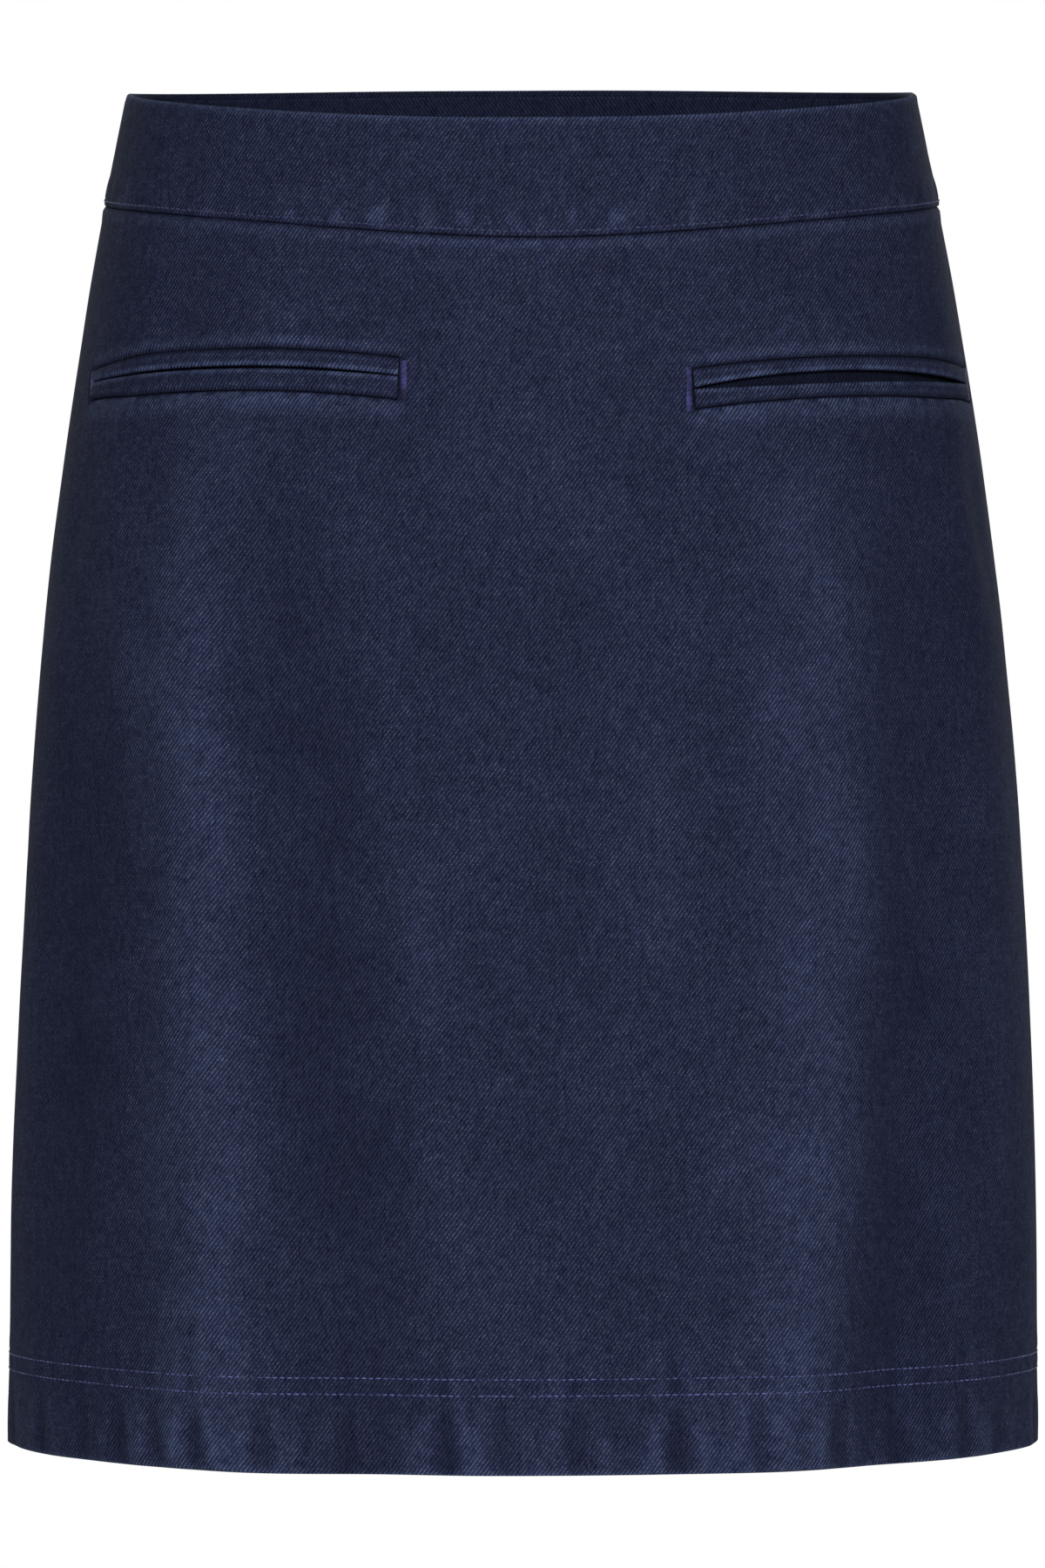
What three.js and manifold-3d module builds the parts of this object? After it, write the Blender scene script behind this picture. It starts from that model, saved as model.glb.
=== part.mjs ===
// A denim mini skirt in the hollow form it has when worn: an A-line body of a front and a back panel,
// a shaped waistband with its facing, two double-welt hip pockets and a concealed zip in the side seam.
// Millimetres. +Z is up, -Y is the front and +X the wearer's left. The origin is the middle of the waist
// opening, 4 mm below the top of the waistband at the side seams.
import * as THREE from "three";
import { mergeVertices } from "three/addons/utils/BufferGeometryUtils.js";
import Module from "manifold-3d";

const wasm = await Module();
wasm.setup();

// Cloth, and the clearance that cut pieces keep at their seams.
const cloth = 1.2;
const seamGap = 0.3;
const seamLevelGap = 0.35;

// Rings of the worn form. level is the height, half the half width, front and back the depths,
// square the exponent of the ring's superellipse: 2 is an ellipse, more is squarer.
const sections = rowsOf("level half front back square", [
  [22, 131.7, 90.5, 95.0, 2.05],
  [0, 136.2, 95.0, 100.5, 2.06],
  [-37, 143.6, 101.5, 110.0, 2.08],
  [-66, 148.9, 106.5, 118.0, 2.12],
  [-102, 154.6, 112.0, 127.5, 2.16],
  [-138, 159.7, 116.5, 135.0, 2.2],
  [-174, 163.9, 119.5, 140.0, 2.22],
  [-210, 166.9, 122.0, 143.0, 2.22],
  [-246, 169.3, 124.5, 145.0, 2.22],
  [-300, 172.3, 128.0, 147.0, 2.22],
  [-355, 174.5, 131.5, 148.5, 2.2],
  [-410, 175.6, 135.0, 149.5, 2.18],
  [-465, 175.9, 138.0, 150.0, 2.16],
]);

// Long soft folds of the body, in degrees round from centre front (positive to the wearer's left)
// at the fold's upper end, middle and lower end. width is in degrees, height in millimetres out.
const folds = rowsOf("upper middle lower from to width height", [
  [-50, -47, -38.5, -85, -520, 7.5, 3.4],
  [-46, -31, -22.5, -120, -540, 8.5, -3.2],
  [47, 44, 31, -70, -520, 9, 2.8],
  [62, 58, 47, -95, -520, 8, -2.6],
  [4, 3, 8, -130, -300, 5, -0.8],
  [-76, -72, -63, -120, -540, 7, -1.8],
  [84, 80, 76, -150, -540, 7, 1.8],
  [-104, -108, -112, -140, -540, 9, 2.4],
  [-121, -126, -130, -110, -540, 9, -2.6],
  [-146, -148, -151, -180, -540, 10, 2.6],
  [178, 176, 172, -170, -540, 11, -2.4],
  [152, 149, 146, -130, -540, 9, 2.6],
  [131, 128, 124, -110, -540, 9, -2.8],
  [109, 110, 112, -160, -540, 8, 2.2],
]);
const foldFade = 55;

// Waistband: levels of its top edge and of its lower seam at centre front, the sides and centre back.
// lean is how much higher each sits on the wearer's left side and lower on the right; power shapes its curve.
const topEdge = { front: -15.1, side: 2.45, back: 12.8, lean: 1, power: 1.25 };
const bandSeam = { front: -55.3, side: -36.2, back: -26, lean: 0.9, power: 0.9 };
const facingBelowSeam = 4;

// Body: where the side seams run, the hem, and the two darts of the back panel.
const sideSeam = 98;
const sideSeamGap = 0.12;
const hemLevel = -460.5;
const hemDepth = 36;
const hemStep = 1;
const dart = { angle: 30, length: 105, depth: 0.7, width: 1.3, start: 0.05 };

// Hip pockets. side is -1 on the wearer's right. inner and outer are the mouth's ends, as arc from centre
// front; the three levels are the slit's at its inner end, middle and outer end. above and below are the
// heights of the two lips, pinch what each loses at the outer end, gape the widest gap between them.
const pockets = rowsOf("side inner outer levelInner levelMiddle levelOuter above below pinch gape", [
  [-1, 47.5, 176, -101.6, -97.6, -100, 6.3, 7.9, 1.6, 0.6],
  [1, 50.5, 184, -105.4, -99.6, -99.2, 6.8, 6.9, 0.9, 3.8],
]);
const lip = { proud: 0.4, thick: 2.2 };
const bag = { behind: 1.7, layer: 1, hollow: 0.6, above: 11, below: 124, margin: 7, seam: 5, taper: 0.2 };

// Concealed zip: its tape inside the side seam, and the slider at the top of the waistband.
const zipLevel = -9;
const tape = { half: 11, top: -42.5, bottom: -206, behind: 1.5, thick: 1 };
const slider = { wide: 5, long: 8.4, thick: 1.2, lift: 0.3, narrow: 0.7 };
const lug = { thick: 0.8, long: 2.6, over: 1.1 };
const pin = { radius: 0.6, clearance: 0.35, eyeWall: 0.55 };
// The pull: root, neckLong, flare and full are how far below the pin its outline starts, leaves the neck, flares
// and is fully wide.
const tab = { thick: 1, drop: 0.9, neck: 2.6, wide: 4.8, long: 16, root: 0.5, neckLong: 3.2, flare: 7, full: 9 };

// Mesh density: columns round each panel, rows down it, and the sides of round metal.
const panelColumns = { front: 44, back: 38 };
const bodyRows = 19;
const bandRows = 2;
const pocketColumns = 18;
const stripRows = 2;
const bagGrid = { columns: 12, rows: 6 };
const tapeGrid = { columns: 4, rows: 12 };
const roundSides = 16;

const degree = Math.PI / 180;

const finishes = {
  denim: new THREE.MeshStandardMaterial({ color: 0x2a2e44, roughness: 0.92, metalness: 0 }),
  insideDenim: new THREE.MeshStandardMaterial({ color: 0x202335, roughness: 0.95, metalness: 0 }),
  pocketing: new THREE.MeshStandardMaterial({ color: 0x262a3c, roughness: 0.9, metalness: 0 }),
  zipTape: new THREE.MeshStandardMaterial({ color: 0x1c2033, roughness: 0.8, metalness: 0 }),
  metal: new THREE.MeshStandardMaterial({ color: 0x2b2d38, roughness: 0.4, metalness: 0.9 }),
};

// A table whose rows become objects with the columns' names.
function rowsOf(columns, rows) {
  const names = columns.split(" ");
  return rows.map((row) => Object.fromEntries(row.map((value, k) => [names[k], value])));
}

// A column of the section table at a level, on a smooth cubic through the rows.
function section(column, level) {
  const last = sections.length - 1;
  let k = sections.findIndex((row) => row.level <= level) - 1;
  k = k < 0 ? (level > sections[0].level ? 0 : last - 1) : k;
  const [a, b] = [sections[k], sections[k + 1]];
  const slope = (p, q) => (sections[q][column] - sections[p][column]) / (sections[q].level - sections[p].level);
  const span = b.level - a.level;
  const startSlope = slope(Math.max(k - 1, 0), k + 1) * span;
  const endSlope = slope(k, Math.min(k + 2, last)) * span;
  const s = THREE.MathUtils.clamp((level - a.level) / span, 0, 1);
  const rise = b[column] - a[column];
  return a[column] + s * startSlope + s * s * (3 * rise - 2 * startSlope - endSlope)
    + s * s * s * (startSlope + endSlope - 2 * rise);
}

// Shortest signed difference of two angles in degrees.
function turn(from, to) {
  return ((to - from + 540) % 360) - 180;
}

// How far the folds stand out at an angle and level: each is a bell across, faded in and out along its run.
function foldHeight(angle, level) {
  let height = 0;
  for (const fold of folds) {
    const along = (level - fold.from) / (hemLevel - fold.from);
    const centre = fold.upper + along * (4 * fold.middle - 3 * fold.upper - fold.lower)
      + along * along * 2 * (fold.upper + fold.lower - 2 * fold.middle);
    const fadeIn = THREE.MathUtils.smoothstep(fold.from - level, 0, foldFade * 2);
    const fadeOut = THREE.MathUtils.smoothstep(level - fold.to, 0, foldFade);
    height += fold.height * fadeIn * fadeOut * Math.exp(-((turn(centre, angle) / fold.width) ** 2));
  }
  return height;
}

// The two back darts are shallow grooves that start at the band seam and die out downwards.
function dartGroove(angle, level) {
  const below = (bandSeam.back - level) / dart.length;
  const off = (180 - Math.abs(turn(0, angle)) - dart.angle) / dart.width;
  const started = THREE.MathUtils.smoothstep(below, -dart.start, dart.start);
  const share = started * THREE.MathUtils.clamp(1 - below, 0, 1);
  return -dart.depth * share * Math.exp(-off * off);
}

// The cloth's outer face: a superellipse ring at each level, deeper behind than in front, plus the folds.
function face(angle, level) {
  const across = Math.abs(Math.sin(angle * degree));
  const along = Math.cos(angle * degree);
  const depth = section(along >= 0 ? "front" : "back", level);
  const power = section("square", level);
  const ring = ((across / section("half", level)) ** power + (Math.abs(along) / depth) ** power) ** (-1 / power);
  const radius = ring + foldHeight(angle, level) + dartGroove(angle, level);
  return new THREE.Vector3(radius * Math.sin(angle * degree), -radius * along, level);
}

// Directions on the cloth: across (round to the wearer's left), up and out of it.
function directions(angle, level) {
  const step = 0.5;
  const across = face(angle + step, level).sub(face(angle - step, level)).normalize();
  const up = face(angle, level + step).sub(face(angle, level - step)).normalize();
  const out = across.clone().cross(up).normalize();
  return { across, up: out.clone().cross(across), out };
}

// A point moved out of the cloth's face by a distance, or in where it is negative.
function offFace(angle, level, distance) {
  return face(angle, level).addScaledVector(directions(angle, level).out, distance);
}

// The angle that lies an arc's length round from centre front at a level, on the smooth ring.
function angleAtArc(arc, level) {
  const step = 1;
  let angle = 0;
  let run = 0;
  let from = face(0, level);
  for (;;) {
    const to = face(angle + step, level);
    const piece = to.distanceTo(from);
    if (run + piece >= Math.abs(arc)) return Math.sign(arc) * (angle + (step * (Math.abs(arc) - run)) / piece);
    run += piece;
    angle += step;
    from = to;
  }
}

// Level of a line that runs round the waist, from its levels at centre front, side and back.
function roundLevel(line, angle) {
  const along = Math.cos(angle * degree);
  const end = along >= 0 ? line.front : line.back;
  const share = 1 - (1 - Math.abs(along)) ** line.power;
  return line.side + (end - line.side) * share + line.lean * Math.sin(angle * degree);
}
const topLevel = (angle) => roundLevel(topEdge, angle);
const seamLevel = (angle) => roundLevel(bandSeam, angle);

// A closed wall of cloth over a grid: at(u, row) gives [angle, level] for u from 0 to 1 going round
// and row going up, outside and inside the distances of its two faces from the cloth's face.
function wall(columns, rows, at, outside, inside) {
  const points = [];
  const faces = [];
  for (const distance of [outside, inside])
    for (let j = 0; j <= rows; j++)
      for (let i = 0; i <= columns; i++) {
        const [angle, level] = at(i / columns, j);
        const off = typeof distance === "function" ? distance(level) : distance;
        points.push(...offFace(angle, level, off).toArray());
      }
  const skin = (columns + 1) * (rows + 1);
  const index = (i, j, inner = 0) => inner * skin + j * (columns + 1) + i;
  const quad = (a, b, c, d) => faces.push(a, b, c, a, c, d);
  for (let j = 0; j < rows; j++)
    for (let i = 0; i < columns; i++) {
      quad(index(i, j), index(i + 1, j), index(i + 1, j + 1), index(i, j + 1));
      quad(index(i, j, 1), index(i, j + 1, 1), index(i + 1, j + 1, 1), index(i + 1, j, 1));
    }
  for (let i = 0; i < columns; i++) {
    quad(index(i, 0, 1), index(i + 1, 0, 1), index(i + 1, 0), index(i, 0));
    quad(index(i, rows), index(i + 1, rows), index(i + 1, rows, 1), index(i, rows, 1));
  }
  for (let j = 0; j < rows; j++) {
    quad(index(0, j, 1), index(0, j), index(0, j + 1), index(0, j + 1, 1));
    quad(index(columns, j), index(columns, j, 1), index(columns, j + 1, 1), index(columns, j + 1));
  }
  const geometry = new THREE.BufferGeometry();
  geometry.setAttribute("position", new THREE.Float32BufferAttribute(points, 3));
  geometry.setIndex(faces);
  return geometry;
}

// A geometry as a solid for cutting and joining, and a solid as a geometry.
function solid(geometry) {
  const bare = geometry.index ? geometry.toNonIndexed() : geometry.clone();
  for (const name of ["normal", "uv"]) bare.deleteAttribute(name);
  const merged = mergeVertices(bare, 1e-4);
  return new wasm.Manifold(new wasm.Mesh({
    numProp: 3,
    vertProperties: merged.attributes.position.array,
    triVerts: new Uint32Array(merged.index.array),
  }));
}

function geometryOf(made) {
  const mesh = made.getMesh();
  const geometry = new THREE.BufferGeometry();
  geometry.setAttribute("position", new THREE.BufferAttribute(new Float32Array(mesh.vertProperties), 3));
  geometry.setIndex(new THREE.BufferAttribute(new Uint32Array(mesh.triVerts), 1));
  return geometry;
}

const skirt = new THREE.Group();

function add(name, geometry, finish, parent = skirt) {
  geometry.computeVertexNormals();
  const mesh = new THREE.Mesh(geometry, finish);
  mesh.name = name;
  parent.add(mesh);
  return mesh;
}

// Where a panel lies round the body: its first and last angle, short of the side seams by half a gap.
const around = {
  front: [-sideSeam + sideSeamGap, sideSeam - sideSeamGap],
  back: [sideSeam + sideSeamGap, 360 - sideSeam - sideSeamGap],
};
const angleOn = (side, u) => THREE.MathUtils.lerp(...around[side], u);

// A body panel from the hem fold up to the band seam. The hem is turned up inside, so it is two layers thick.
function bodyPanel(side) {
  const hemTop = hemLevel + hemDepth;
  const at = (u, row) => {
    const angle = angleOn(side, u);
    const top = seamLevel(angle) - seamLevelGap;
    const hemRows = [hemLevel, hemTop, hemTop + hemStep];
    if (row < hemRows.length) return [angle, hemRows[row]];
    const share = (row - hemRows.length + 1) / (bodyRows - hemRows.length + 1);
    return [angle, THREE.MathUtils.lerp(hemTop + hemStep, top, share)];
  };
  const inside = (level) => (level <= hemTop ? -2 * cloth : -cloth);
  return wall(panelColumns[side], bodyRows, at, 0, inside);
}

// A length of waistband, or of its facing: between the top edge and a level below or above the band seam.
function bandPiece(side, outer, inner, seamOffset) {
  const at = (u, row) => {
    const angle = angleOn(side, u);
    const low = seamLevel(angle) + seamOffset;
    return [angle, THREE.MathUtils.lerp(low, topLevel(angle), row / bandRows)];
  };
  return wall(panelColumns[side], bandRows, at, outer, inner);
}

// A pocket's slit: the level of its middle line at a share u of the way from its inner to its outer end.
function slitLevel(pocket, u) {
  const bend = 2 * (pocket.levelInner + pocket.levelOuter - 2 * pocket.levelMiddle);
  return pocket.levelInner + u * (pocket.levelOuter - pocket.levelInner - bend) + u * u * bend;
}

// Half the gap between the lips, widest nearer the inner end.
const gapeAt = (pocket, u) => (pocket.gape / 2) * Math.sin(Math.PI * Math.min(u, 1) ** 0.8);

// How high a lip stands at u, pinched towards the outer end.
const lipHeight = (pocket, name, u) => pocket[name] - pocket.pinch * THREE.MathUtils.smoothstep(u, 0.75, 1);

// The angle and level of a place on a pocket's strip: u along it, rise above its slit.
function onPocket(pocket, u, rise) {
  const run = pocket.side > 0 ? u : 1 - u;
  const arc = THREE.MathUtils.lerp(pocket.inner, pocket.outer, run);
  const level = slitLevel(pocket, run) + rise(run);
  return [angleAtArc(pocket.side * arc, slitLevel(pocket, run)), level];
}

// A strip of the pocket between two heights over its slit, shortened at both ends by a share of its length.
function pocketStrip(pocket, low, high, outer, inner, inset = 0) {
  const at = (u, row) => onPocket(pocket, THREE.MathUtils.lerp(inset, 1 - inset, u),
    (run) => THREE.MathUtils.lerp(low(run), high(run), row / stripRows));
  return wall(pocketColumns, stripRows, at, outer, inner);
}

// The window that a pocket's lips fill, as a cutter that passes through a depth of cloth.
function pocketWindow(pocket, outer, inner) {
  const low = (run) => -lipHeight(pocket, "below", run);
  const high = (run) => lipHeight(pocket, "above", run);
  return solid(pocketStrip(pocket, low, high, outer, inner));
}

// One folded lip of a pocket, filling its half of the window short of the window's edges.
function pocketLip(pocket, name) {
  const endInset = seamGap / (pocket.outer - pocket.inner);
  const edge = (run) => Math.max(gapeAt(pocket, run), seamGap / 2);
  const low = name === "above" ? edge : (run) => seamGap - lipHeight(pocket, name, run);
  const high = name === "above" ? (run) => lipHeight(pocket, name, run) - seamGap : (run) => -edge(run);
  return pocketStrip(pocket, low, high, lip.proud, lip.proud - lip.thick, endInset);
}

// A pocket bag: two layers hanging flat behind the panel, sewn together round their edge and open at the mouth.
function pocketBag(pocket) {
  const layerOver = (margin, outer, inner) => {
    const middle = (pocket.inner + pocket.outer) / 2;
    const half = (pocket.outer - pocket.inner) / 2 + margin;
    const drop = bag.below + margin - bag.margin;
    const rise = bag.above + margin - bag.margin;
    const at = (u, row) => {
      const share = row / bagGrid.rows;
      const narrowed = half * (1 - bag.taper * (1 - share) ** 4);
      const arc = pocket.side * middle + (2 * u - 1) * narrowed;
      const run = THREE.MathUtils.clamp((pocket.side * arc - pocket.inner) / (pocket.outer - pocket.inner), 0, 1);
      const slit = slitLevel(pocket, run);
      return [angleAtArc(arc, slit), slit + THREE.MathUtils.lerp(-drop, rise, share)];
    };
    return solid(wall(bagGrid.columns, bagGrid.rows, at, outer, inner));
  };
  const hollowOuter = -bag.behind - bag.layer;
  const hollowInner = hollowOuter - bag.hollow;
  return layerOver(bag.margin, -bag.behind, hollowInner - bag.layer)
    .subtract(layerOver(bag.margin - bag.seam, hollowOuter, hollowInner))
    .subtract(pocketWindow(pocket, 1, hollowInner));
}

// The zip's tape, a flat strip behind the side seam below the waistband.
function zipTape() {
  const at = (u, row) => {
    const level = THREE.MathUtils.lerp(tape.bottom, tape.top, row / tapeGrid.rows);
    const perDegree = face(sideSeam + 1, level).distanceTo(face(sideSeam, level));
    return [sideSeam + ((2 * u - 1) * tape.half) / perDegree, level];
  };
  return wall(tapeGrid.columns, tapeGrid.rows, at, -tape.behind, -tape.behind - tape.thick);
}

// Metal of the slider, in its own frame: X round the body, Y up the cloth, Z out of it.
const bodyTop = slider.lift + slider.thick;
const eyeOuter = pin.radius + pin.clearance + pin.eyeWall;
const pinHeight = bodyTop + pin.clearance + eyeOuter;
const eyeHalf = tab.neck / 2;
const lugInner = eyeHalf + pin.clearance;

// The slider: a plate with rounded ends, two lugs on it and a pin across them.
function zipSlider() {
  const plate = new THREE.Shape();
  const [halfWide, halfLong] = [slider.wide / 2, slider.long / 2];
  const tailHalf = halfWide * slider.narrow;
  const shoulder = halfLong - tailHalf;
  plate.moveTo(-tailHalf, -halfLong);
  plate.lineTo(tailHalf, -halfLong);
  plate.lineTo(halfWide, shoulder);
  plate.quadraticCurveTo(halfWide, halfLong, 0, halfLong);
  plate.quadraticCurveTo(-halfWide, halfLong, -halfWide, shoulder);
  const base = new THREE.ExtrudeGeometry(plate, { depth: slider.thick, bevelEnabled: false, curveSegments: 6 });
  base.translate(0, 0, slider.lift);
  let made = solid(base);
  const sunk = slider.thick / 2;
  const lugHeight = pinHeight + lug.over - bodyTop + sunk;
  for (const side of [-1, 1]) {
    const ear = new THREE.BoxGeometry(lug.thick, lug.long, lugHeight);
    ear.translate(side * (lugInner + lug.thick / 2), 0, bodyTop - sunk + lugHeight / 2);
    made = made.add(solid(ear));
  }
  const bar = new THREE.CylinderGeometry(pin.radius, pin.radius, 2 * lugInner + lug.thick, roundSides);
  bar.rotateZ(Math.PI / 2);
  bar.translate(0, 0, pinHeight);
  return made.add(solid(bar));
}

// The pull: an eye round the pin and a drop-shaped tab below it, in a frame whose X axis is the pin's.
function zipPull() {
  const eye = new THREE.CylinderGeometry(eyeOuter, eyeOuter, tab.neck, roundSides);
  eye.rotateZ(Math.PI / 2);
  const drop = new THREE.Shape();
  const [neckHalf, wideHalf] = [tab.neck / 2, tab.wide / 2];
  const roundCentre = wideHalf - tab.long;
  drop.moveTo(-neckHalf, -tab.root);
  drop.lineTo(-neckHalf, -tab.neckLong);
  drop.bezierCurveTo(-neckHalf, -tab.flare, -wideHalf, -tab.full, -wideHalf, roundCentre);
  drop.absarc(0, roundCentre, wideHalf, Math.PI, 2 * Math.PI, false);
  drop.bezierCurveTo(wideHalf, -tab.full, neckHalf, -tab.flare, neckHalf, -tab.neckLong);
  drop.lineTo(neckHalf, -tab.root);
  const blade = new THREE.ExtrudeGeometry(drop, { depth: tab.thick, bevelEnabled: false, curveSegments: 8 });
  blade.translate(0, 0, -tab.drop - tab.thick / 2);
  const hole = new THREE.CylinderGeometry(
    pin.radius + pin.clearance, pin.radius + pin.clearance, tab.wide, roundSides);
  hole.rotateZ(Math.PI / 2);
  return solid(eye).add(solid(blade)).subtract(solid(hole));
}

// The body's panels, the front one with its two pocket windows cut through.
const windowReach = 4;
let frontPanel = solid(bodyPanel("front"));
for (const pocket of pockets) frontPanel = frontPanel.subtract(pocketWindow(pocket, windowReach, -windowReach));
add("front_panel", geometryOf(frontPanel), finishes.denim);
add("back_panel", bodyPanel("back"), finishes.denim);

// The waistband and the facing behind it, each in a front and a back length.
for (const side of ["front", "back"]) {
  add(`waistband_${side}`, bandPiece(side, 0, -cloth, 0), finishes.denim);
  const behind = -cloth - seamGap;
  add(`waistband_facing_${side}`, bandPiece(side, behind, behind - cloth, -facingBelowSeam), finishes.insideDenim);
}

// The pockets: two lips and a bag on each side.
for (const pocket of pockets) {
  const side = pocket.side > 0 ? "left" : "right";
  add(`pocket_${side}_upper_lip`, pocketLip(pocket, "above"), finishes.denim);
  add(`pocket_${side}_lower_lip`, pocketLip(pocket, "below"), finishes.denim);
  add(`pocket_${side}_bag`, geometryOf(pocketBag(pocket)), finishes.pocketing);
}

// The zip in the wearer's left side seam.
add("zip_tape", zipTape(), finishes.zipTape);
const zip = new THREE.Group();
const zipWays = directions(sideSeam, zipLevel);
zip.matrix.makeBasis(zipWays.across, zipWays.up, zipWays.out).setPosition(face(sideSeam, zipLevel));
zip.matrix.decompose(zip.position, zip.quaternion, zip.scale);
skirt.add(zip);
add("zip_slider", geometryOf(zipSlider()), finishes.metal, zip);
add("zip_pull", geometryOf(zipPull()), finishes.metal, zip).position.z = pinHeight;

export default skirt;
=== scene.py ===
import bmesh
import bpy
import numpy as np
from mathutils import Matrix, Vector


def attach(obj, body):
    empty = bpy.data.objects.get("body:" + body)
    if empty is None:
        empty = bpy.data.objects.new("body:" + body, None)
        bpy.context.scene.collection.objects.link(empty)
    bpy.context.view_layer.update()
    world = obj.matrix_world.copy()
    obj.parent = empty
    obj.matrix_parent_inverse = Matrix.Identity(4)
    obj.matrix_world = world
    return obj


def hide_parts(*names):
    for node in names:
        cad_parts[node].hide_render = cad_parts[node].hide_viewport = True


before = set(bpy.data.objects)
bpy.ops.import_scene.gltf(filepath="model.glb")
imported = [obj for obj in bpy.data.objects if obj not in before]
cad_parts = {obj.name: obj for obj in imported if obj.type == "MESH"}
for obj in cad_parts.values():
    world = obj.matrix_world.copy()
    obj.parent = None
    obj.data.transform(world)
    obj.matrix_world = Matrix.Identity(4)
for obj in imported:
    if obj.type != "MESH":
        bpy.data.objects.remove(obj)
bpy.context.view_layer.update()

# A denim mini skirt, filled out as worn. Shapes are worked out in millimetres in the frame's axes: +Z is up,
# -Y the front and +X the wearer's left. Angles are degrees round from centre front, positive to the wearer's left.
mm = 0.001

# The worn form, as the frame's solids have it: half width, depth in front and behind, and squareness by level.
sections = {
    "level": [22, 0, -37, -66, -102, -138, -174, -210, -246, -300, -355, -410, -465],
    "half": [131.7, 136.2, 143.6, 148.9, 154.6, 159.7, 163.9, 166.9, 169.3, 172.3, 174.5, 175.6, 175.9],
    "front": [90.5, 95, 101.5, 106.5, 112, 116.5, 119.5, 122, 124.5, 128, 131.5, 135, 138],
    "back": [95, 100.5, 110, 118, 127.5, 135, 140, 143, 145, 147, 148.5, 149.5, 150],
    "square": [2.05, 2.06, 2.08, 2.12, 2.16, 2.2, 2.22, 2.22, 2.22, 2.22, 2.2, 2.18, 2.16],
}


def rowsOf(names, rows):
    # A table whose rows become dictionaries with the columns' names.
    return [dict(zip(names.split(), row)) for row in rows]


# Long soft folds, as the solids have them: angles at the upper end, middle and lower end, levels, width and height.
folds = rowsOf("upper middle lower start stop width height", [
    (-50, -47, -38.5, -85, -520, 7.5, 3.4),
    (-46, -31, -22.5, -120, -540, 8.5, -3.2),
    (47, 44, 31, -70, -520, 9, 2.8),
    (62, 58, 47, -95, -520, 8, -2.6),
    (4, 3, 8, -130, -300, 5, -0.8),
    (-76, -72, -63, -120, -540, 7, -1.8),
    (84, 80, 76, -150, -540, 7, 1.8),
    (-104, -108, -112, -140, -540, 9, 2.4),
    (-121, -126, -130, -110, -540, 9, -2.6),
    (-146, -148, -151, -180, -540, 10, 2.6),
    (178, 176, 172, -170, -540, 11, -2.4),
    (152, 149, 146, -130, -540, 9, 2.6),
    (131, 128, 124, -110, -540, 9, -2.8),
    (109, 110, 112, -160, -540, 8, 2.2),
])
foldFade = 55

cut = {
    "cloth": 1.2,                                       # thickness of the denim
    "sideSeam": 98,
    "hem": -460.5, "hemDepth": 36,
    "dartAngle": 30, "dartLength": 105, "dartDepth": 0.7, "dartWidth": 1.3, "dartStart": 0.05,
    "facingBelowSeam": 4,
}


# Levels of the waistband's top edge and of its lower seam at centre front, the sides and centre back. lean is how
# much higher each sits on the wearer's left side and lower on the right; power shapes its curve.
topEdge = {"front": -15.1, "side": 2.45, "back": 12.8, "lean": 1, "power": 1.25}
bandSeam = {"front": -55.3, "side": -36.2, "back": -26, "lean": 0.9, "power": 0.9}


def smooth(value, low, high):
    # An S curve from 0 at low to 1 at high.
    share = np.clip((value - low) / (high - low), 0, 1)
    return share * share * (3 - 2 * share)


def bell(value, width):
    # A soft hump of height 1 that has died out at about twice its width.
    return np.exp(-((value / width) ** 2))


def ringSize(column, level):
    # A column of the section table on a smooth cubic: at each row its slope is that between its neighbours.
    levels, values = -np.array(sections["level"], float), np.array(sections[column], float)
    before = np.maximum(np.arange(len(levels)) - 1, 0)
    after = np.minimum(np.arange(len(levels)) + 1, len(levels) - 1)
    slopes = (values[after] - values[before]) / (levels[after] - levels[before])
    k = np.clip(np.searchsorted(levels, -level) - 1, 0, len(levels) - 2)
    span = levels[k + 1] - levels[k]
    s = np.clip((-level - levels[k]) / span, 0, 1)
    rise, first, last = values[k + 1] - values[k], slopes[k] * span, slopes[k + 1] * span
    return values[k] + s * first + s**2 * (3 * rise - 2 * first - last) + s**3 * (first + last - 2 * rise)


def turned(angle, centre):
    # Shortest signed difference of two angles in degrees.
    return (angle - centre + 540) % 360 - 180


def foldHeight(angle, level, table=folds, fadeIn=2 * foldFade):
    # Each fold is a bell across, centred on a parabola through its three angles and faded in and out along its run.
    height = 0
    for fold in table:
        upper, middle, lower = fold["upper"], fold["middle"], fold["lower"]
        along = (level - fold["start"]) / (cut["hem"] - fold["start"])
        centre = upper + along * (4 * middle - 3 * upper - lower) + along**2 * 2 * (upper + lower - 2 * middle)
        shown = smooth(fold["start"] - level, 0, fadeIn) * smooth(level - fold["stop"], 0, foldFade)
        height = height + fold["height"] * shown * bell(turned(angle, centre), fold["width"])
    return height


def dartGroove(angle, level):
    # Two shallow grooves in the back that start at the band seam and die out downwards.
    below = (bandSeam["back"] - level) / cut["dartLength"]
    off = 180 - np.abs(turned(angle, 0)) - cut["dartAngle"]
    share = smooth(below, -cut["dartStart"], cut["dartStart"]) * np.clip(1 - below, 0, 1)
    return -cut["dartDepth"] * share * bell(off, cut["dartWidth"])


def face(angle, level):
    # The cloth's outer face: a superellipse ring at each level, deeper behind than in front, plus the folds.
    angle, level = np.broadcast_arrays(np.asarray(angle, float), np.asarray(level, float))
    turn = np.radians(angle)
    across, along = np.abs(np.sin(turn)), np.cos(turn)
    depth = np.where(along >= 0, ringSize("front", level), ringSize("back", level))
    power = ringSize("square", level)
    ring = ((across / ringSize("half", level)) ** power + (np.abs(along) / depth) ** power) ** (-1 / power)
    radius = ring + foldHeight(angle, level) + dartGroove(angle, level)
    return np.stack([radius * np.sin(turn), -radius * along, level], -1)


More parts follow.
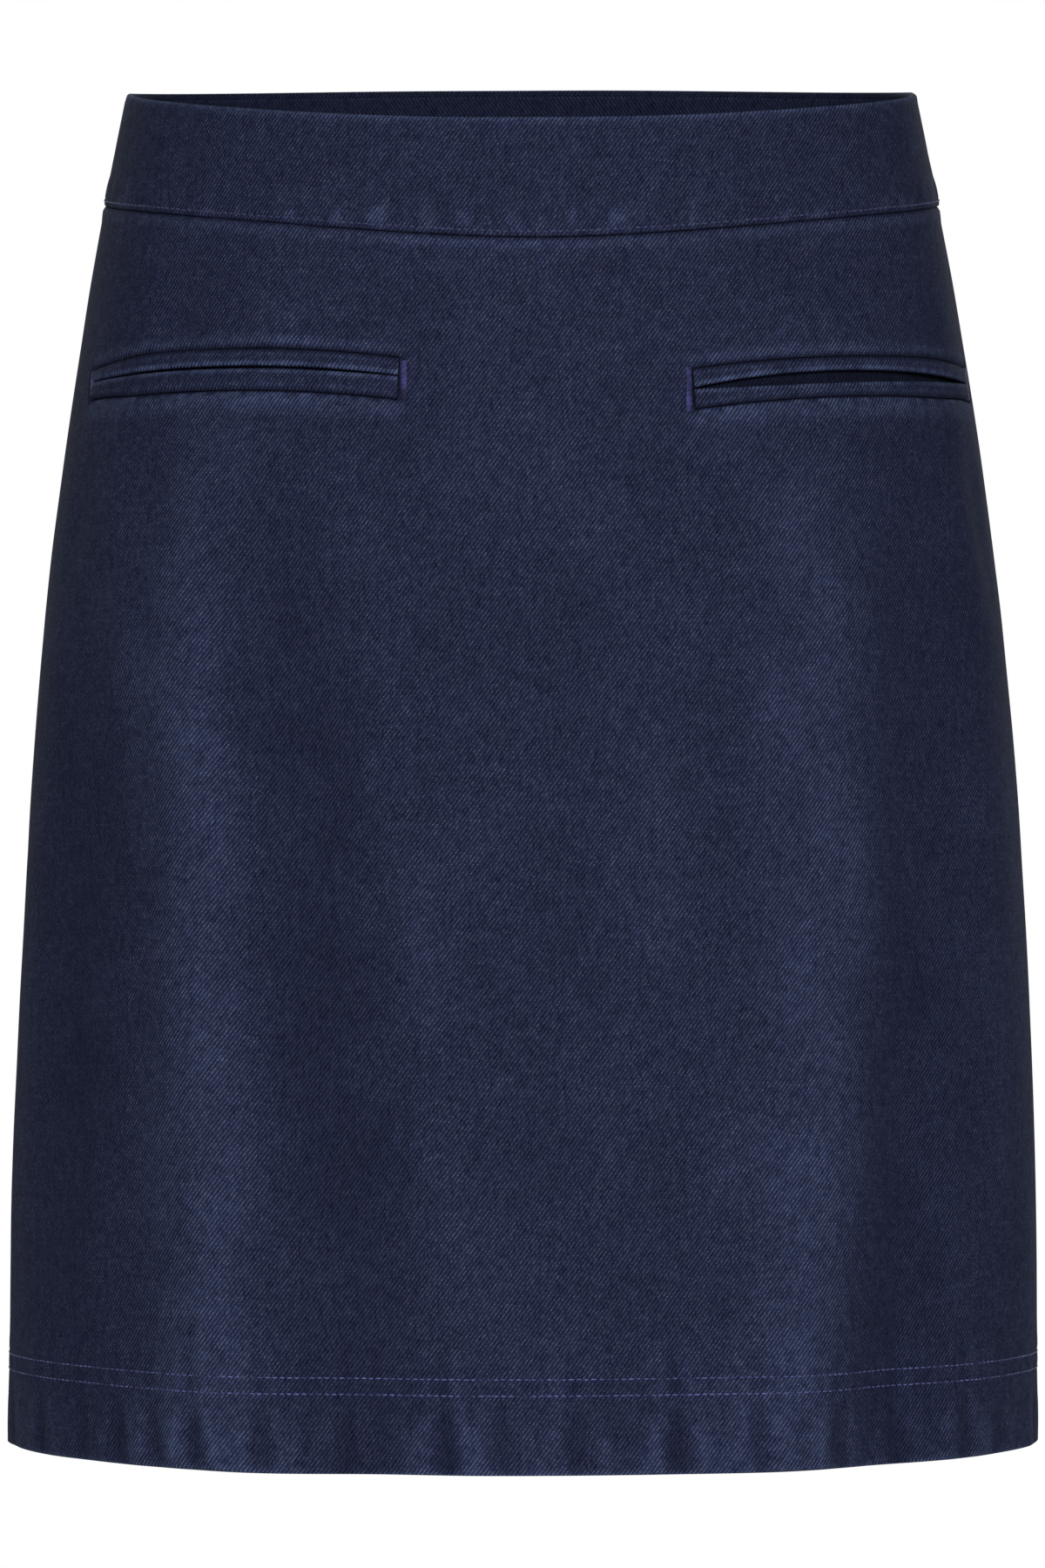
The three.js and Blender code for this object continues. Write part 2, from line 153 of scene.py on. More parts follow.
def unit(vectors):
    return vectors / np.linalg.norm(vectors, axis=-1, keepdims=True)


def directions(angle, level):
    # Unit directions on the cloth: across to the wearer's left, up it and out of it.
    step = 0.5
    across = unit(face(angle + step, level) - face(angle - step, level))
    out = unit(np.cross(across, face(angle, level + step) - face(angle, level - step)))
    return across, np.cross(out, across), out


def offFace(angle, level, distance):
    # Points moved out of the cloth's face by a distance in millimetres, or in where it is negative.
    angle, level, distance = np.broadcast_arrays(angle, level, distance)
    return face(angle, level) + directions(angle, level)[2] * distance[..., None]


def roundLevel(line, angle):
    # Level of a line that runs round the waist, from its levels at centre front, side and back.
    along = np.cos(np.radians(angle))
    share = 1 - (1 - np.abs(along)) ** line["power"]
    rise = (np.where(along >= 0, line["front"], line["back"]) - line["side"]) * share
    return line["side"] + rise + line["lean"] * np.sin(np.radians(angle))


def topLevel(angle):
    return roundLevel(topEdge, angle)


def seamLevel(angle):
    return roundLevel(bandSeam, angle)


# Lengths along the cloth, summed once over a lattice of angles and levels and read off between its lines.
lattice = {"firstAngle": -185, "angleStep": 0.5, "firstLevel": -470, "levelStep": 5}
latticeAngles = np.arange(lattice["firstAngle"], 276, lattice["angleStep"])
latticeLevels = np.arange(lattice["firstLevel"], 31, lattice["levelStep"])
latticePoints = face(latticeAngles[None, :], latticeLevels[:, None])
roundLengths = np.linalg.norm(np.diff(latticePoints, axis=1), axis=-1).cumsum(axis=1)
roundLengths = np.pad(roundLengths, ((0, 0), (1, 0)))
roundLengths -= roundLengths[:, [np.abs(latticeAngles).argmin()]]
upLengths = np.linalg.norm(np.diff(latticePoints, axis=0), axis=-1).cumsum(axis=0)
upLengths = np.pad(upLengths, ((1, 0), (0, 0)))
upLengths -= upLengths[[np.abs(latticeLevels).argmin()], :]


def readLattice(values, angle, level):
    a = (np.asarray(angle, float) - lattice["firstAngle"]) / lattice["angleStep"]
    b = (np.asarray(level, float) - lattice["firstLevel"]) / lattice["levelStep"]
    a, b = np.broadcast_arrays(a, b)
    i = np.clip(np.floor(a).astype(int), 0, values.shape[1] - 2)
    j = np.clip(np.floor(b).astype(int), 0, values.shape[0] - 2)
    s, t = a - i, b - j
    low = values[j, i] * (1 - s) + values[j, i + 1] * s
    high = values[j + 1, i] * (1 - s) + values[j + 1, i + 1] * s
    return low * (1 - t) + high * t


def arcAt(angle, level):
    # Millimetres round the body from centre front.
    return readLattice(roundLengths, angle, level)


def angleAtArc(arc, level):
    # The angle that lies an arc round from centre front, by a few steps of Newton's method.
    angle = np.asarray(arc, float) / 2.75
    for _ in range(8):
        angle = angle + (arc - arcAt(angle, level)) / (arcAt(angle + 0.5, level) - arcAt(angle - 0.5, level))
    return angle


def clothPlace(angle, level):
    # A place in the flat cloth, in metres: across from centre front or centre back, and up.
    across = arcAt(angle, level) - np.where(np.asarray(angle) > cut["sideSeam"], arcAt(180, level), 0)
    return np.stack(np.broadcast_arrays(across, readLattice(upLengths, angle, level)), -1) * mm


def uneven(arc, level, across, up, seed):
    # Smooth random heights from -1 to 1 on a net of the given spacing, blended by an S curve between its points.
    net = np.random.default_rng(seed).uniform(-1, 1, (64, 64))
    x, y = arc / across + 32, level / up + 64
    i, j = np.floor(x).astype(int), np.floor(y).astype(int)
    s, t = smooth(x - i, 0, 1), smooth(y - j, 0, 1)
    low = net[i % 64, j % 64] * (1 - s) + net[(i + 1) % 64, j % 64] * s
    high = net[i % 64, (j + 1) % 64] * (1 - s) + net[(i + 1) % 64, (j + 1) % 64] * s
    return low * (1 - t) + high * t


# Pockets, as the solids have them. side is -1 on the wearer's right. inner and outer are the mouth's ends as arc
# from centre front, the three levels are the slit's, above and below the heights of the two lips.
pockets = rowsOf("name side inner outer levelInner levelMiddle levelOuter above below pinch gape", [
    ("right", -1, 47.5, 176, -101.6, -97.6, -100, 6.3, 7.9, 1.6, 0.6),
    ("left", 1, 50.5, 184, -105.4, -99.6, -99.2, 6.8, 6.9, 0.9, 3.8),
])


def slitLevel(pocket, run):
    # The slit's middle line is a parabola through its three levels.
    bend = 2 * (pocket["levelInner"] + pocket["levelOuter"] - 2 * pocket["levelMiddle"])
    return pocket["levelInner"] + run * (pocket["levelOuter"] - pocket["levelInner"] - bend) + run**2 * bend


def slitHalf(pocket, run):
    # Half the gap between the lips, widest nearer the inner end.
    return pocket["gape"] / 2 * np.sin(np.pi * np.clip(run, 0, 1) ** 0.8)


def lipHeight(pocket, which, run):
    return pocket[which] - pocket["pinch"] * smooth(run, 0.75, 1)


def pocketRun(pocket, angle):
    # How far along the pocket's mouth an angle lies: 0 at the inner end and 1 at the outer end, also past them.
    ends = pocketEnds(pocket)
    return (angle - ends[0]) / (ends[1] - ends[0])


def pocketEnds(pocket):
    return [float(angleAtArc(pocket["side"] * pocket[end], pocket[level]))
            for end, level in (("inner", "levelInner"), ("outer", "levelOuter"))]


def pocketLine(angle, which):
    # The upper or lower edge of both pocket windows, run on across the panel: level past the ends, blended between.
    lines = []
    for pocket in pockets:
        run = np.clip(pocketRun(pocket, angle), 0, 1)
        sign = 1 if which == "above" else -1
        lines.append(slitLevel(pocket, run) + sign * lipHeight(pocket, which, run))
    share = smooth(angle, -12, 12)
    return lines[0] * (1 - share) + lines[1] * share


# Fine form of the body's cloth, in millimetres.
bodyForm = {
    "slow": 0.34, "quick": 0.1,                          # unevenness of cloth that has been washed and handled
    "seamDip": 0.85, "seamBulge": 0.4,                   # beside the band seam
    "stitchRows": (-429.4, -434.7), "stitchDent": 0.17,
    "hemPrint": 0.12,                                    # the turned-up edge shows through
    "windowDip": 0.8, "windowBulge": 0.4,                # round the pocket mouths
    "sideDip": 0.6, "sideBulge": 0.2, "allowance": 10,   # beside the side seams
    "dartDip": 0.55, "dartBulge": 0.28,
    "puckerSlant": -0.06,                                # arc gained per millimetre up
    "wobble": 1.5, "fadeIn": 60,                         # of the fine folds: degrees, and length of their start
    "creaseScale": 1.5,
}
# Folds of the cloth alone, laid over the solids' long ones in the same columns: they sharpen and break those up.
fineFolds = rowsOf("upper middle lower start stop width height", [
    (-54, -50, -45, -108, -620, 6.5, 2.6),
    (-44, -38, -29.5, -108, -620, 7.5, -2.9),
    (36, 36, 31, -108, -620, 7, 2.2),
    (53, 52, 48, -108, -620, 6.5, -2.6),
    (-66, -66, -64, -185, -380, 6, -2.2),
    (-61, -64, -70, -135, -250, 4.5, 1.3),
    (3, 5, 8, -130, -330, 5, -1.3),
    (24, 16, 10, -130, -330, 4.5, 0.9),
    (-26, -18, -10, -170, -430, 5, 1.3),
    (68, 70, 72, -170, -440, 6, 1.2),
    (-78, -80, -84, -120, -620, 6, 1.4),
    (110, 111, 114, -140, -620, 6, 2.0),
    (133, 129, 122, -105, -620, 6.5, -2.4),
    (154, 150, 147, -120, -620, 6, 2.2),
    (179, 175, 169, -165, -620, 6, -2.0),
    (167, 163, 155, -210, -420, 4.5, 1.1),
    (-104, -108, -114, -125, -620, 6, 2.1),
    (-121, -126, -132, -100, -620, 6.5, -2.4),
    (-145, -149, -153, -165, -620, 6, 2.3),
    (-160, -164, -171, -240, -450, 5, 1.1),
])
# Puckers of the hem: arc at 14 mm above the edge, and depth. The back's are alike but of its own.
hemPuckers = rowsOf("arc depth", [
    (-197, 0.5), (-174, 0.3), (-153, 0.55), (-136, 0.5), (-118.5, 0.95), (-94.6, 0.55), (-66, 0.5), (-56, 0.35),
    (-33.5, 0.95), (-15, 0.4), (9.6, 0.5), (43, 0.95), (70, 0.5), (84, 0.25), (99, 0.55), (127, 0.5), (157, 0.6),
    (178, 0.35), (212, 0.5), (229, 0.3), (262, 0.6), (291, 0.55), (304, 0.3), (331, 0.8), (352, 0.4), (377, 0.5),
    (399, 0.9), (421, 0.35), (447, 0.55), (462, 0.3), (485, 0.6), (513, 0.7), (538, 0.4), (561, 0.55), (583, 0.85),
    (612, 0.5), (638, 0.4), (655, 0.6), (684, 0.75), (702, 0.3), (731, 0.55), (757, 0.5), (-226, 0.5), (-243, 0.3),
])
# Small creases that the seams and the wearer's shape pull, beyond the long folds: where each starts, its length,
# its tilt from upright in degrees (positive leans its lower end to the wearer's left), half width and height.
creases = rowsOf("arc level length tilt width height", [
    (-44, -112, 60, -34, 7, -0.5), (-58, -116, 44, -24, 5, 0.35), (-168, -112, 70, -18, 7, -0.6),
    (-150, -116, 52, -12, 6, 0.4), (55, -116, 62, 30, 7, -0.5), (76, -118, 40, 22, 6, 0.35),
    (172, -112, 74, 16, 8, -0.6), (150, -118, 48, 24, 6, 0.35), (-90, -66, 24, 40, 5, -0.35),
    (-30, -64, 22, -20, 5, -0.3), (36, -66, 20, 24, 5, -0.3), (110, -62, 24, -34, 5, -0.35),
    (-98, -52, 60, 12, 9, 1.2), (-130, -54, 60, 8, 10, -1.1), (-164, -158, 60, 26, 12, 0.9),
    (-8, -300, 90, 8, 11, -0.5), (66, -330, 80, -12, 10, 0.45), (-92, -352, 62, 14, 9, 0.4),
    (328, -140, 80, -22, 9, -0.6), (452, -140, 84, 20, 9, -0.6), (390, -176, 90, 5, 12, 0.5),
    (300, -92, 40, 30, 7, -0.45), (486, -94, 38, -32, 7, -0.45), (360, -300, 92, -9, 11, -0.5),
    (430, -322, 84, 12, 10, 0.45), (258, -200, 70, 10, 9, -0.5), (524, -204, 72, -10, 9, -0.5),
])


def creaseHeight(arc, level):
    # Each crease is a bell across its line that swells and dies out along it. Those of the back are met going either
    # way round, so their arcs are also tried a whole girth away.
    height = 0
    girth = arcAt(180, level) - arcAt(-180, level)
    for crease in creases:
        tilt = np.radians(crease["tilt"])
        gone = crease["level"] - level
        along = gone / (crease["length"] * np.cos(tilt))
        shown = np.sin(np.pi * np.clip(along, 0, 1)) ** 1.5
        for turn in (0, girth):
            off = (arc - crease["arc"] + turn - gone * np.tan(tilt)) * np.cos(tilt)
            height = height + crease["height"] * shown * bell(off, crease["width"])
    return height


def hemPucker(arc, level):
    # Each pucker is a trough between two low ridges, slanting down to the wearer's left from the lower stitch row,
    # with a weak one between the rows above it.
    rows = bodyForm["stitchRows"]
    below = smooth(rows[1] - level, 0, 12) * (1 - 0.25 * smooth(rows[1] - level, 18, 26))
    between = 0.75 * bell(level - (rows[0] + rows[1]) / 2, 2.6) + 0.5 * bell(level - rows[0] - 5, 4.5)
    centreLevel = cut["hem"] + 14
    widen = 2.0 + 1.5 * smooth(rows[1] - level, 0, 22)
    depth = 0
    for pucker in hemPuckers:
        off = arc - pucker["arc"] - bodyForm["puckerSlant"] * (level - centreLevel)
        shape = bell(off, widen) - 0.42 * bell(np.abs(off) - 2.4 * widen, 1.25 * widen)
        depth = depth + pucker["depth"] * shape
    return -1.4 * depth * (below + between)


def fineFold(angle, level):
    # The fine folds, their lines wandering a little.
    arc = arcAt(angle, level)
    wander = bodyForm["wobble"] * uneven(arc, level, 90, 48, 19)
    return foldHeight(angle + wander, level, fineFolds, bodyForm["fadeIn"])


def pocketForm(angle, level):
    # Round each pocket window the panel dips into the ditch of the seam, beyond a low roll of the layers behind it.
    height = 0
    for pocket in pockets:
        ends = pocketEnds(pocket)
        arcs = pocket["side"] * arcAt(angle, level)
        past = np.maximum(np.maximum(pocket["inner"] - arcs, arcs - pocket["outer"]), 0)
        past = np.where(angle * pocket["side"] > 0, past, 99)
        run = np.clip(pocketRun(pocket, angle), 0, 1)
        slit = slitLevel(pocket, run)
        over = level - slit - lipHeight(pocket, "above", run)
        under = slit - lipHeight(pocket, "below", run) - level
        off = np.hypot(past, np.maximum(np.maximum(over, under), 0))
        height = height - bodyForm["windowDip"] * np.exp(-off / 1.0) + bodyForm["windowBulge"] * bell(off - 3, 1.9)
    return height


def bodyRelief(angle, level):
    # The fine folds and creases, which the layers behind the cloth follow too.
    relief = bodyForm["creaseScale"] * creaseHeight(arcAt(angle, level), level) + fineFold(angle, level)
    return relief * smooth(seamLevel(angle) - level, 3, 12)


def bodyDetail(angle, level):
    # How far the cloth of the body stands off the solid's face.
    arc = arcAt(angle, level)
    below = np.maximum(seamLevel(angle) - level, 0)
    height = bodyForm["slow"] * uneven(arc, level, 46, 62, 3) + bodyForm["quick"] * uneven(arc, level, 15, 22, 4)
    height = height + bodyForm["seamBulge"] * bell(below - 2.5, 1.7) - bodyForm["seamDip"] * np.exp(-below / 0.6)
    height = height + bodyRelief(angle, level) + hemPucker(arc, level)
    height = height + bodyForm["hemPrint"] * smooth(cut["hem"] + cut["hemDepth"] - level, -2, 1.5)
    for row in bodyForm["stitchRows"]:
        height = height - bodyForm["stitchDent"] * bell(level - row, 0.75)
    for seam in (-cut["sideSeam"], cut["sideSeam"]):
        off = np.abs(turned(angle, seam)) * 2.65
        height = height - bodyForm["sideDip"] * np.exp(-off / 0.55)
        height = height + bodyForm["sideBulge"] * (1 - smooth(off, bodyForm["allowance"] - 2, bodyForm["allowance"]))
    dartOff = (180 - np.abs(turned(angle, 0)) - cut["dartAngle"]) * 2.6
    dartShare = np.clip((level - bandSeam["back"] + cut["dartLength"]) / 12, 0, 1)
    height = height - bodyForm["dartDip"] * dartShare * bell(dartOff, 0.6)
    height = height + bodyForm["dartBulge"] * dartShare * bell(np.abs(dartOff) - 3, 2.2)
    return height + pocketForm(angle, level)


def behindCloth(angle, level, highest=0.6):
    # How far the back of the cloth is from its place on the solid: its fine form, without the seams' ditches.
    relief = bodyRelief(angle, level)
    return relief + np.clip(bodyDetail(angle, level) - relief, -0.35, highest)


# Fine form of the waistband. Its puckers sit on the edge stitching: arc, and how high each reaches.
bandForm = {
    "slow": 0.2, "quick": 0.07, "rowUp": 1.6, "rowDent": 0.22, "edgeDip": 0.55, "allowance": 9, "thicker": 0.3,
    "roll": 1.35, "turnedIn": 0.3, "puckerDepth": 0.4,
}
bandPuckers = rowsOf("arc tall", [
    (-206, 7), (-178, 10), (-140, 8), (-127, 11), (-114, 7), (-109, 9), (-97, 8), (-73, 12), (-64, 7), (-46, 9),
    (-26, 10), (-12, 7), (0, 9), (10, 6), (29, 11), (40, 8), (52.5, 9), (78, 12), (106, 8), (122, 9), (151, 7),
    (176, 11), (204, 8), (232, 9), (247, 7), (271, 10), (286, 8), (312, 11), (330, 7), (349, 9), (368, 8), (391, 10),
    (409, 7), (433, 12), (456, 8), (470, 9), (497, 10), (515, 7), (538, 9), (560, 8),
])


def bandDetail(angle, level):
    # How far the waistband's cloth stands off the solid's face: thicker where the seam's allowances lie behind it.
    arc = arcAt(angle, level)
    above = level - seamLevel(angle)
    height = bandForm["slow"] * uneven(arc, level, 38, 30, 5) + bandForm["quick"] * uneven(arc, level, 13, 12, 6)
    height = height + bandForm["thicker"] * (1 - smooth(above, bandForm["allowance"] - 2, bandForm["allowance"] + 1))
    height = height - bandForm["rowDent"] * bell(above - bandForm["rowUp"], 0.8)
    height = height - bandForm["edgeDip"] * np.exp(-np.maximum(above, 0) / 0.5)
    for pucker in bandPuckers:
        off = arc - pucker["arc"] - 0.15 * above
        height = height - bandForm["puckerDepth"] * bell(off, 2.3) * np.exp(-((above - 3) / pucker["tall"]) ** 2)
        height = height + 0.4 * bandForm["puckerDepth"] * bell(off - 5, 2.6) * bell(above - 3, pucker["tall"])
    for seam in (-cut["sideSeam"], cut["sideSeam"]):
        off = np.abs(turned(angle, seam)) * 2.5
        height = height - bodyForm["sideDip"] * np.exp(-off / 0.55)
    return height * smooth(topLevel(angle) - level, 0, 3)


# Meshes: a part is a dictionary of points in millimetres, quads, places in the flat cloth, wear with painted shade,
# and finish number.
def gridShell(outer, inner, place, wearAndShade, keep=None):
    # A closed wall: two skins over one grid, whose rows go up and columns to the wearer's left, and a rim along every
    # edge of the kept cells. Outside and rims take the first finish, the inside the second.
    rows, columns = outer.shape[0] - 1, outer.shape[1] - 1
    keep = np.ones((rows, columns), bool) if keep is None else keep
    index = np.arange((rows + 1) * (columns + 1)).reshape(rows + 1, columns + 1)
    skin = index.size
    a, b, c, d = index[:-1, :-1], index[:-1, 1:], index[1:, 1:], index[1:, :-1]
    around = np.pad(keep, 1)
    shapes = [
        (keep, (a, b, c, d), 0),
        (keep, (a + skin, d + skin, c + skin, b + skin), 1),
        (keep & ~around[:-2, 1:-1], (a + skin, b + skin, b, a), 0),
        (keep & ~around[2:, 1:-1], (d, c, c + skin, d + skin), 0),
        (keep & ~around[1:-1, :-2], (a + skin, a, d, d + skin), 0),
        (keep & ~around[1:-1, 2:], (b, b + skin, c + skin, c), 0),
    ]
    quads = [np.stack(corners, -1)[where] for where, corners, _ in shapes]
    finish = np.concatenate([np.full(len(q), shape[2]) for q, shape in zip(quads, shapes)])
    used, quads = np.unique(np.concatenate(quads), return_inverse=True)
    stack = [np.concatenate([values.reshape(skin, -1)] * 2) for values in (place, wearAndShade)]
    points = np.concatenate([outer.reshape(-1, 3), inner.reshape(-1, 3)])
    return {"points": points[used], "quads": quads.reshape(-1, 4), "place": stack[0][used],
            "wearAndShade": stack[1][used, 0], "finish": finish}


def tubes(rings, place=None, wearAndShade=None, finish=0):
    # Closed tubes from rings of points, shaped (tubes, rings, sides, 3), with flat ends paired across each end ring.
    count, length, sides = rings.shape[:3]
    index = np.arange(count * length * sides).reshape(count, length, sides)
    beside = np.roll(index, -1, axis=2)
    walls = np.stack([index[:, :-1], beside[:, :-1], beside[:, 1:], index[:, 1:]], -1).reshape(-1, 4)
    k = np.arange(sides // 2 - 1)
    cap = np.stack([k, k + 1, sides - 2 - k, sides - 1 - k], -1)
    starts, ends = index[:, 0][:, cap[:, ::-1]].reshape(-1, 4), index[:, -1][:, cap].reshape(-1, 4)
    points, quads = rings.reshape(-1, 3), np.concatenate([walls, starts, ends])
    if volumeOf(points, quads) < 0:
        quads = quads[:, ::-1]
    along = np.broadcast_to(np.arange(length)[None, :, None] / (length - 1), rings.shape[:3])
    round_ = np.broadcast_to(np.arange(sides)[None, None, :] / sides, rings.shape[:3])
    place = np.stack([round_, along], -1) if place is None else place
    wearAndShade = np.zeros(rings.shape[:3]) if wearAndShade is None else wearAndShade
    return {"points": points, "quads": quads, "place": place.reshape(-1, 2), "wearAndShade": wearAndShade.reshape(-1),
            "finish": np.full(len(quads), finish)}


def volumeOf(points, quads):
    # Signed volume inside closed faces: a sum of tetrahedra from the origin.
    a, b, c, d = (points[quads[:, k]] for k in range(4))
    return float((np.cross(a, b) * c).sum() + (np.cross(a, c) * d).sum()) / 6


def joined(parts):
    starts = np.cumsum([0] + [len(part["points"]) for part in parts[:-1]])
    whole = {key: np.concatenate([part[key] for part in parts]) for key in ("points", "place", "wearAndShade", "finish")}
    whole["quads"] = np.concatenate([part["quads"] + start for part, start in zip(parts, starts)])
    return whole


def makePiece(name, part, finishes, body="skirt", nodes=(), sharp=50):
    # An object in metres with its place in its mesh, a UV map "cloth" and a point attribute of wear, which holds
    # painted shade where it is below zero.
    mesh = bpy.data.meshes.new(name)
    points, quads = part["points"] * mm, part["quads"]
    mesh.vertices.add(len(points))
    mesh.vertices.foreach_set("co", points.astype(np.float32).ravel())
    mesh.loops.add(quads.size)
    mesh.loops.foreach_set("vertex_index", quads.astype(np.int32).ravel())
    mesh.polygons.add(len(quads))
    mesh.polygons.foreach_set("loop_start", np.arange(0, quads.size, 4, dtype=np.int32))
    mesh.polygons.foreach_set("material_index", part["finish"].astype(np.int32))
    mesh.update(calc_edges=True)
    layer = mesh.uv_layers.new(name="cloth")
    layer.data.foreach_set("uv", part["place"][quads.ravel()].astype(np.float32).ravel())
    wearAndShade = mesh.attributes.new("wearAndShade", "FLOAT", "POINT")
    wearAndShade.data.foreach_set("value", part["wearAndShade"].astype(np.float32))
    mesh.shade_smooth()
    mesh.set_sharp_from_angle(angle=np.radians(sharp))
    for finish in finishes:
        mesh.materials.append(finish)
    piece = bpy.data.objects.new(name, mesh)
    bpy.context.collection.objects.link(piece)
    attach(piece, body)
    if nodes:
        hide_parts(*nodes)
    print(f"{name}: {2 * len(quads)} triangles")
    return piece


fineSteps = np.array([0, 0.35, 0.9, 1.8, 3.2])


def spaced(low, high, step, fineLow=True, fineHigh=True):
    # Values from one line up to, but without, another: close together beside a seam or edge, and even between.
    low, high = np.atleast_1d(low).astype(float), np.atleast_1d(high).astype(float)
    start, end = low + fineSteps[-1] * fineLow, high - fineSteps[-1] * fineHigh
    count = max(int(round(float(np.mean(end - start)) / step)), 1)
    middle = start + (end - start) * np.linspace(0, 1, count + 1)[:, None]
    parts = [low + fineSteps[:-1, None]] if fineLow else []
    parts.append(middle if fineHigh else middle[:-1])
    parts += [high - fineSteps[-2:0:-1, None]] if fineHigh else []
    return np.concatenate(parts)


def spacedAngles(stops, step):
    # Columns round the body, close together beside each stop. A degree is about 2.75 mm.
    perDegree = 2.75
    pairs = zip(stops[:-1], stops[1:])
    columns = [spaced(low * perDegree, high * perDegree, step)[:, 0] / perDegree for low, high in pairs]
    return np.concatenate(columns + [[stops[-1]]])


# Finishes. Colours are sRGB, turned to linear by one function.
def colour(code):
    values = np.array([int(code[k:k + 2], 16) for k in (1, 3, 5)]) / 255
    linear = np.where(values <= 0.04045, values / 12.92, ((values + 0.055) / 1.055) ** 2.4)
    return (*linear, 1)


def addNode(tree, kind, inputs=None, **settings):
    # A node with its settings. Inputs are values, or other nodes' outputs to link from.
    node = tree.nodes.new(kind)
    for name, value in settings.items():
        setattr(node, name, value)
    for name, value in (inputs or {}).items():
        if isinstance(value, bpy.types.NodeSocket):
            tree.links.new(value, node.inputs[name])
        else:
            node.inputs[name].default_value = value
    return node


def newFinish(name):
    material = bpy.data.materials.new(name)
    material.use_nodes = True
    tree = material.node_tree
    return material, tree, tree.nodes["Principled BSDF"]


# 3/1 right-hand denim: 72 ends and 53 picks an inch. Indigo warp floats over three picks, and the paler weft shows
# as short dashes on a steep diagonal. Washed, so edges and creases are a little paler and bluer.
denimCloth = {
    "endPitch": 0.354, "pickPitch": 0.48, "thread": 0.10,
    "warpDark": "#050b26", "warpPale": "#3a4262", "weftDark": "#262c4a", "weftGrey": "#9396ac",
    "weftBlue": "#717bac", "wornWarp": "#465680", "wornWeft": "#98a4c6", "roughness": 0.92, "sheen": 0.03,
    "sheenRoughness": 0.3, "sheenTint": "#a3aed6", "mottle": 0.08,
    "heather": 0.5,
}
# The reverse of the same cloth shows mostly weft.
denimReverse = dict(denimCloth, warpDark="#11162a", warpPale="#1f2642", weftDark="#272d45", weftGrey="#4c5168",
                    weftBlue="#454d70", wornWarp="#26344f", wornWeft="#5c6678")


